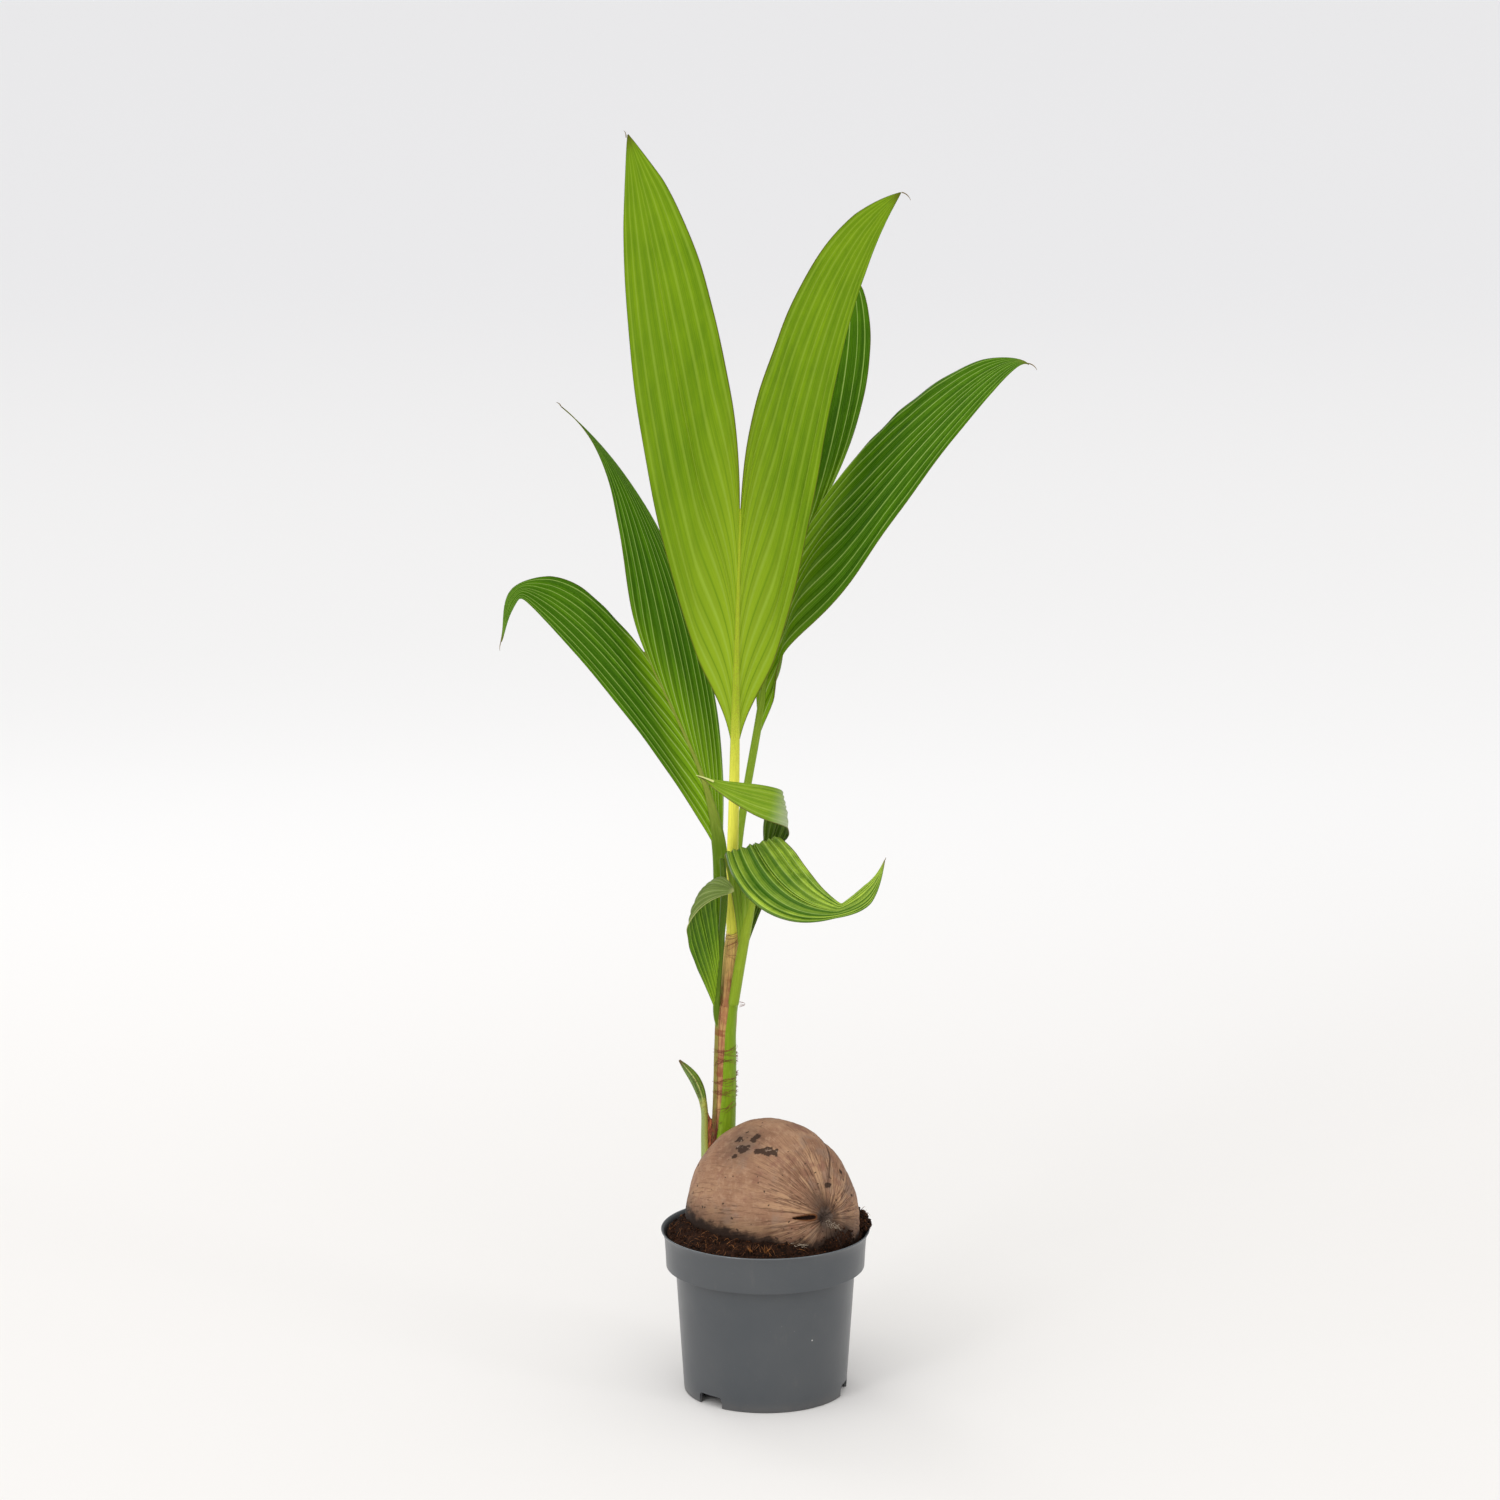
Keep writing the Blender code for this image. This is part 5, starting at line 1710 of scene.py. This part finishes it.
def crumbTurn(chance):
    turn = chance.uniform(0, 6.28)
    return np.array(Matrix.Rotation(turn, 3, Vector((chance.random(), chance.random(), 1.0))))


def discPlace(chance, low, high):
    # somewhere on the soil, between two shares of its area
    turn, reach = chance.uniform(0, 2 * math.pi), soil["edge"] * math.sqrt(chance.uniform(low, high))
    return reach * math.cos(turn), reach * math.sin(turn)


def scatterCrumbs():
    # one faceted crumb, copied with its own turn and size, and joined
    crumb = added("crumb", bpy.ops.mesh.primitive_ico_sphere_add, subdivisions=1, radius=1.0)
    shape = [np.array(vertex.co) for vertex in crumb.data.vertices]
    corners = [tuple(face.vertices) for face in crumb.data.polygons]
    bpy.data.objects.remove(crumb, do_unlink=True)
    points = []
    faces = []

    def drop(centre, turn, size, rough, squeeze=1.0):
        faces.extend(tuple(len(points) + corner for corner in face) for face in corners)
        for corner in shape:
            points.append(centre + turn @ (corner * squeeze * size * (1.0 + chance.uniform(-rough, rough))))

    chance = random.Random(soil["seed"])
    for number in range(soil["crumbs"]):
        if number % 4 == 0:
            x, y = soil["mound"][0] + chance.gauss(0.0, 0.012), soil["mound"][1] + chance.gauss(-0.01, 0.022)
        else:
            x, y = discPlace(chance, 0.15, 1.0)
        size = chance.uniform(*soil["crumbSizes"])
        if math.hypot(x, y) > soil["edge"] - size or nutGap(x, y) < 0.0:
            continue
        turn = crumbTurn(chance)
        squeeze = uniforms(chance, *[(0.6, 1.3)] * 3)
        centre = np.array([x, y, soilHeight(x, y) + size * chance.uniform(-0.1, 0.6)])
        drop(centre, turn, size, 0.25, squeeze)
    # a clump of crumbs lies over the rim at the right
    middle, half = np.array(soil["clump"]), np.array(soil["clumpHalf"])
    for number in range(soil["clumpCrumbs"]):
        place = gausses(chance, 0.45, 0.45, 0.45)
        place = middle + place / max(1.0, float(np.linalg.norm(place))) * half
        place[2] -= 0.55 * max(0.0, place[0] - middle[0])
        size = chance.uniform(*soil["clumpSizes"])
        reach = math.hypot(place[0], place[1]) + size
        low = place[2] < soil["lipTop"] + size * 0.6
        if reach <= (soil["lipReach"] if low else soil["clumpReach"]):
            drop(place, crumbTurn(chance), size, 0.35)
    # crumbs cling to the damp end of the nut, in front at the right
    chance = random.Random(soil["seed"] + 34)
    for number in range(soil["clingCrumbs"]):
        place = onHusk(np.array(soil["cling"]) + gausses(chance, *soil["clingSpread"]))
        size = chance.uniform(*soil["clingSizes"])
        high = place[2] > soil["clingTop"] + size
        if math.hypot(place[0], place[1]) + size <= (soil["clingReach"] if high else soil["clingInside"]):
            drop(place, crumbTurn(chance), size, 0.35)
    mesh = bpy.data.meshes.new("soilCrumbs")
    mesh.from_pydata([tuple(point) for point in points], [], faces)
    mesh.update()
    item = bpy.data.objects.new("soilCrumbs", mesh)
    bpy.context.scene.collection.objects.link(item)
    finishPiece(item, [soilMaterial("soilCrumbs")], smooth=False)


def scatterFibres():
    chance = random.Random(soil["seed"] + 4)
    strands = []
    for number in range(soil["fibres"]):
        x, y = discPlace(chance, 0.2, 0.97)
        if nutGap(x, y) < 0.001:
            continue
        length, aim = chance.uniform(0.003, 0.011), chance.uniform(0, 2 * math.pi)
        endX, endY = x + length * math.cos(aim), y + length * math.sin(aim)
        if math.hypot(endX, endY) > soil["edge"] - 0.001 or nutGap(endX, endY) < 0.0005:
            continue
        end = (endX, endY, soilHeight(endX, endY) + chance.uniform(0.0, 0.0025))
        lift = uniforms(chance, (-0.001, 0.001), (-0.001, 0.001), (0.0002, 0.0018))
        width = chance.uniform(*soil["fibreWidths"])
        strands.append(bentStrand((x, y, soilHeight(x, y)), end, lift, width, 5, 0.0002, chance))
    for x, y, count, spread, tall in soil["tufts"]:
        for number in range(count):
            start = np.array((x, y, soilHeight(x, y) - 0.001))
            start[:2] += uniforms(chance, (-0.002, 0.002), (-0.0015, 0.0015))
            end = start + uniforms(chance, (-spread, spread), (0.0, -0.003), (tall * 0.45, tall))
            width = chance.uniform(0.00016, 0.00030)
            strands.append(bentStrand(start, end, (0.0, -0.0012, 0.001), width, 6, 0.0002, chance))
    for number in range(soil["clumpFibres"]):
        start = np.array(soil["clump"]) + gausses(chance, 1.0, 1.0, 1.0) * np.array(soil["clumpHalf"]) * 0.4
        end = start + uniforms(chance, (-0.004, 0.006), (-0.006, 0.004), (-0.002, 0.007))
        if math.hypot(end[0], end[1]) < 0.1000 and start[2] > 0.1520:
            width = chance.uniform(0.00012, 0.00028)
            strands.append(bentStrand(start, end, (0.0, 0.0, 0.0010), width, 5, 0.0003, chance))
    material = strandMaterial("coirFibres", soil["fibreLook"])
    finishPiece(addStrands("coirFibres", strands), [material])


def soilMaterial(name):
    material, tree, shader = newMaterial(name)
    place = objectPlace(tree)
    clods = grainNoise(place, 130.0, 5.0, 0.7)
    fine = grainNoise(place, 700.0, 3.0, 0.7)
    colour = mix(ramp(clods, 0.35, 0.65), *soil["tones"])
    colour = mix(ramp(fine, 0.56, 0.70, 0.0, 0.75), colour, soil["bitTone"])
    dress(shader, colour, 0.92, 0.15, (plus(clods, fine), 0.8, 0.0012))
    return material


# Frayed fibre on the nut: pale torn fibre at its foot, and mould threads beside the scar

nutFray = {
    "seed": 23,
    # from, to, how many, how thick, and how far they stand off
    "tufts": [
        ((0.0205, -0.0748, 0.1585), (0.0365, -0.0738, 0.1560), 9, 0.00028, 0.0010),
        ((0.0550, -0.0655, 0.1765), (0.0640, -0.0605, 0.1700), 15, 0.00014, 0.0026),
        ((0.0620, -0.0620, 0.1720), (0.0690, -0.0570, 0.1650), 12, 0.00013, 0.0028),
    ],
    "look": {"scale": 300.0, "tones": ((206, 190, 168), (150, 132, 112)), "roughness": 0.8},
}


def frayNut():
    chance = random.Random(nutFray["seed"])
    strands = []
    for start, end, count, width, lift in nutFray["tufts"]:
        start, end = np.array(start), np.array(end)
        for number in range(count):
            share = chance.uniform(-0.15, 0.75)
            first = start + (end - start) * share + gausses(chance, 0.0008, 0.0008, 0.0008)
            final = first + (end - start) * chance.uniform(0.15, 0.45)
            final[2] += chance.gauss(0.0, 0.0018)
            bow = gausses(chance, 0.0004, lift * 0.4, lift * 0.5)
            bow[1] = -abs(bow[1])
            thick = width * chance.uniform(0.6, 1.2)
            strands.append(bentStrand(first, final, bow, thick, 7, 0.0002, chance))
    finishPiece(addStrands("nutFray", strands), [strandMaterial("nutFray", nutFray["look"])])


turnPot()
layTopsoil()
scatterCrumbs()
scatterFibres()
growNut()
frayNut()
print("pot, soil and nut made")


# Fibres that tie round the stem

stemPath = asPath(stem["points"])
stemShares = np.linspace(0.0, 1.0, 200)
stemLevels = [along(stemPath, share)[2] for share in stemShares]


def stemPlace(z, turn, proud):
    # a place on the stem's side, by height and by the turn from the front
    share = float(np.interp(z, stemLevels, stemShares))
    reach = float(along(stem["radii"], share)) + proud
    return along(stemPath, share) + np.array([math.sin(turn), -math.cos(turn), 0.0]) * reach


stemFibres = {
    "seed": 31, "steps": 18, "widths": (0.00012, 0.00024),
    # height, how far it climbs, the headings it spans, threads, how far the bundle spreads
    "ties": [
        (0.3015, 0.004, (-80, 100), 4, 0.0030), (0.2950, -0.004, (-70, 95), 4, 0.0030),
        (0.2900, 0.006, (-85, 20), 3, 0.0020), (0.2720, 0.003, (-85, 96), 6, 0.0030),
        (0.2640, -0.002, (-90, 90), 6, 0.0030), (0.2450, 0.008, (-40, 100), 4, 0.0016),
        (0.2780, 0.001, (75, 150), 3, 0.0020), (0.2640, 0.001, (70, 175), 4, 0.0045),
        (0.2500, -0.002, (70, 160), 3, 0.0022), (0.4100, 0.006, (-90, 110), 3, 0.0030),
        (0.4020, 0.008, (-60, 120), 3, 0.0035), (0.3960, -0.006, (-70, 100), 2, 0.0030),
    ],
    "knots": 34, "knotLevels": (0.2990, 0.2955, 0.2925, 0.2790, 0.2700, 0.2640, 0.2590),
    "netThreads": 9, "netFoot": 0.3345, "curls": 5, "curlFoot": 0.345, "footHairs": 26,
    "look": {
        "scale": 120.0, "turn": (0.4, 0.62), "tones": ((118, 48, 34), (150, 84, 48)), "roughness": 0.65,
        "bump": (0.3, 0.0003),
    },
}


def tieStrand(chance, height, climb, span, spread):
    first = math.radians(span[0] + chance.uniform(-14, 40))
    final = math.radians(span[1] + chance.uniform(-50, 20))
    level = height + chance.gauss(0.0, spread * 0.6)
    rise = climb + chance.gauss(0.0, spread * 0.8)
    phase, swing = chance.uniform(0, 6.28), chance.uniform(0.0004, 0.0016)
    width = chance.uniform(*stemFibres["widths"])
    places = []
    widths = []
    for step in range(stemFibres["steps"] + 1):
        share = step / stemFibres["steps"]
        proud = 0.0009 + 0.0004 * math.sin(phase + 9.0 * share)
        z = level + rise * share + swing * math.sin(phase + 7.0 * share)
        places.append(stemPlace(z, first + (final - first) * share, proud))
        widths.append(width * (1.0 - 0.7 * (2 * share - 1.0) ** 4))
    return places, widths


def tieFibres():
    chance = random.Random(stemFibres["seed"])
    strands = []
    for height, climb, span, count, spread in stemFibres["ties"]:
        strands += [tieStrand(chance, height, climb, span, spread) for number in range(count)]
    # small knots of fibre stand on the right edge
    for number in range(stemFibres["knots"]):
        level = chance.choice(stemFibres["knotLevels"]) + chance.gauss(0.0, 0.0016)
        start = stemPlace(level, math.radians(chance.uniform(78, 112)), 0.0006)
        end = start + uniforms(chance, (0.0006, 0.0022), (-0.001, 0.001), (-0.0016, 0.0016))
        width = chance.uniform(0.00022, 0.00042)
        strands.append(bentStrand(start, end, (0.0, 0.0, 0.0006), width, 4, 0.0003, chance))
    # a net of slanting threads at the foot of leaf E
    for number in range(stemFibres["netThreads"]):
        level = stemFibres["netFoot"] + number * 0.0022
        start = stemPlace(level + 0.006, math.radians(-62 + number), 0.0012)
        end = stemPlace(level - 0.006, math.radians(-22 + number * 2), 0.0010)
        strands.append(bentStrand(start, end, (0.0, -0.0006, 0.0), 0.00018, 6))
    # loose curls where the green petiole leaves the sheath
    for number in range(stemFibres["curls"]):
        start = stemPlace(stemFibres["curlFoot"] + number * 0.0012, math.radians(60 + number * 4), 0.0035)
        end = start + np.array([chance.uniform(0.001, 0.004), -0.001, chance.uniform(-0.004, 0.006)])
        strands.append(bentStrand(start, end, (0.0030, 0.0, 0.0), 0.00016, 8))
    # hairs in the dark gap at the foot
    for number in range(stemFibres["footHairs"]):
        turn = math.radians(chance.uniform(-75, -20))
        start = stemPlace(chance.uniform(0.208, 0.236), turn, 0.0002)
        end = stemPlace(start[2] + chance.uniform(-0.012, 0.012), turn + chance.uniform(-0.3, 0.3), 0.0014)
        strands.append(bentStrand(start, end, (0.0, -0.0008, 0.0), chance.uniform(0.00018, 0.00030), 6))
    material = strandMaterial("stemFibres", stemFibres["look"])
    finishPiece(addStrands("stemFibres", strands), [material])


# A torn brown web of old sheath between the side shoot and the stem

shootWeb = {
    "top": 0.2405, "foot": 0.203, "columns": 16, "rows": 26, "thickness": 0.0007, "stemHeading": -62,
    "look": {
        "scale": (900.0, 900.0, 180.0), "detail": 3.0, "coarse": 0.6, "turn": (0.4, 0.65),
        "tones": ((92, 38, 14), (182, 98, 46)), "roughness": 0.75, "bump": (0.6, 0.0008),
    },
}


def growShootWeb():
    rows, columns = shootWeb["rows"], shootWeb["columns"]
    places = np.empty((rows + 1, columns + 1, 3))
    shoot = asPath(sideShoot["points"])
    shootLevels = [point[2] for point in shoot[:3]]
    for row in range(rows + 1):
        level = shootWeb["foot"] + (shootWeb["top"] - shootWeb["foot"]) * row / rows
        share = float(np.interp(level, shootLevels, [0.0, 0.25, 0.5]))
        left = along(shoot, share) + np.array([0.0030, -0.0020, 0.0])
        right = stemPlace(level, math.radians(shootWeb["stemHeading"]), -0.0008)
        for column in range(columns + 1):
            part = column / columns
            sag = -0.0045 * 4.0 * part * (1.0 - part) * (row / rows) ** 3
            crumple = 0.0007 * noiseAt(part * 4.0, level * 160.0, 0.0)
            places[row, column] = left * (1 - part) + right * part + np.array([0.0, crumple - 0.0006, sag])
    item = gridPiece("shootWeb", places)
    applyModifier(item, "SOLIDIFY", thickness=shootWeb["thickness"], offset=0.0)
    finishPiece(item, [strandMaterial("shootWeb", shootWeb["look"])])


growSheath()
growClasp()
growSideShoot()
growShootWeb()
tieFibres()
for stalkName, stalk in stalks.items():
    growStalk(stalkName, stalk)
print("stem: sheath, petioles, side shoot and fibres grown")


# Threads: dry hairs at the leaf tips, of which only the one on leaf D is pale

leafThreads = {
    # from, to, how they bow and how thick they are
    "threads": [
        ((-0.1205, -0.0292, 1.1335), (-0.1225, -0.0300, 1.1395), (0.0006, 0.0, 0.0006), 0.00045),
        ((0.1165, -0.0296, 1.0868), (0.1245, -0.0300, 1.0800), (0.0006, 0.0, 0.0014), 0.00050),
        ((-0.2368, 0.0355, 0.6850), (-0.2380, 0.0350, 0.6765), (-0.0004, 0.0, 0.0), 0.00040),
        ((-0.1872, 0.1600, 0.8835), (-0.1915, 0.1600, 0.8868), (0.0004, 0.0, 0.0006), 0.00050),
        ((0.2335, 0.0600, 0.9315), (0.2415, 0.0600, 0.9255), (0.0008, 0.0, 0.0010), 0.00050),
        ((0.1038, -0.0702, 0.5068), (0.1052, -0.0700, 0.5100), (0.0003, 0.0, 0.0), 0.00040),
        ((-0.0460, -0.0306, 0.5700), (-0.0618, -0.0304, 0.5758), (0.0, 0.0, 0.0004), 0.00095),
    ],
    "steps": 8, "paleFrom": (0.560, 0.565), "paleTo": (0.590, 0.595), "pale": (214, 220, 136),
    "look": {"scale": 240.0, "tones": ((150, 126, 70), (84, 66, 34)), "roughness": 0.6},
}


def growThreads():
    strands = [bentStrand(*thread, leafThreads["steps"]) for thread in leafThreads["threads"]]
    material = strandMaterial("leafThreads", leafThreads["look"])
    z = splitVector(objectPlace(material.node_tree))[2]
    mask = times(ramp(z, *leafThreads["paleFrom"]), ramp(z, *leafThreads["paleTo"], 1.0, 0.0))
    base = material.node_tree.nodes["Principled BSDF"].inputs["Base Color"]
    setSocket(base, mix(mask, base.links[0].from_socket, leafThreads["pale"]))
    finishPiece(addStrands("leafThreads", strands), [material])


growThreads()
print("threads: leaf tips ended")
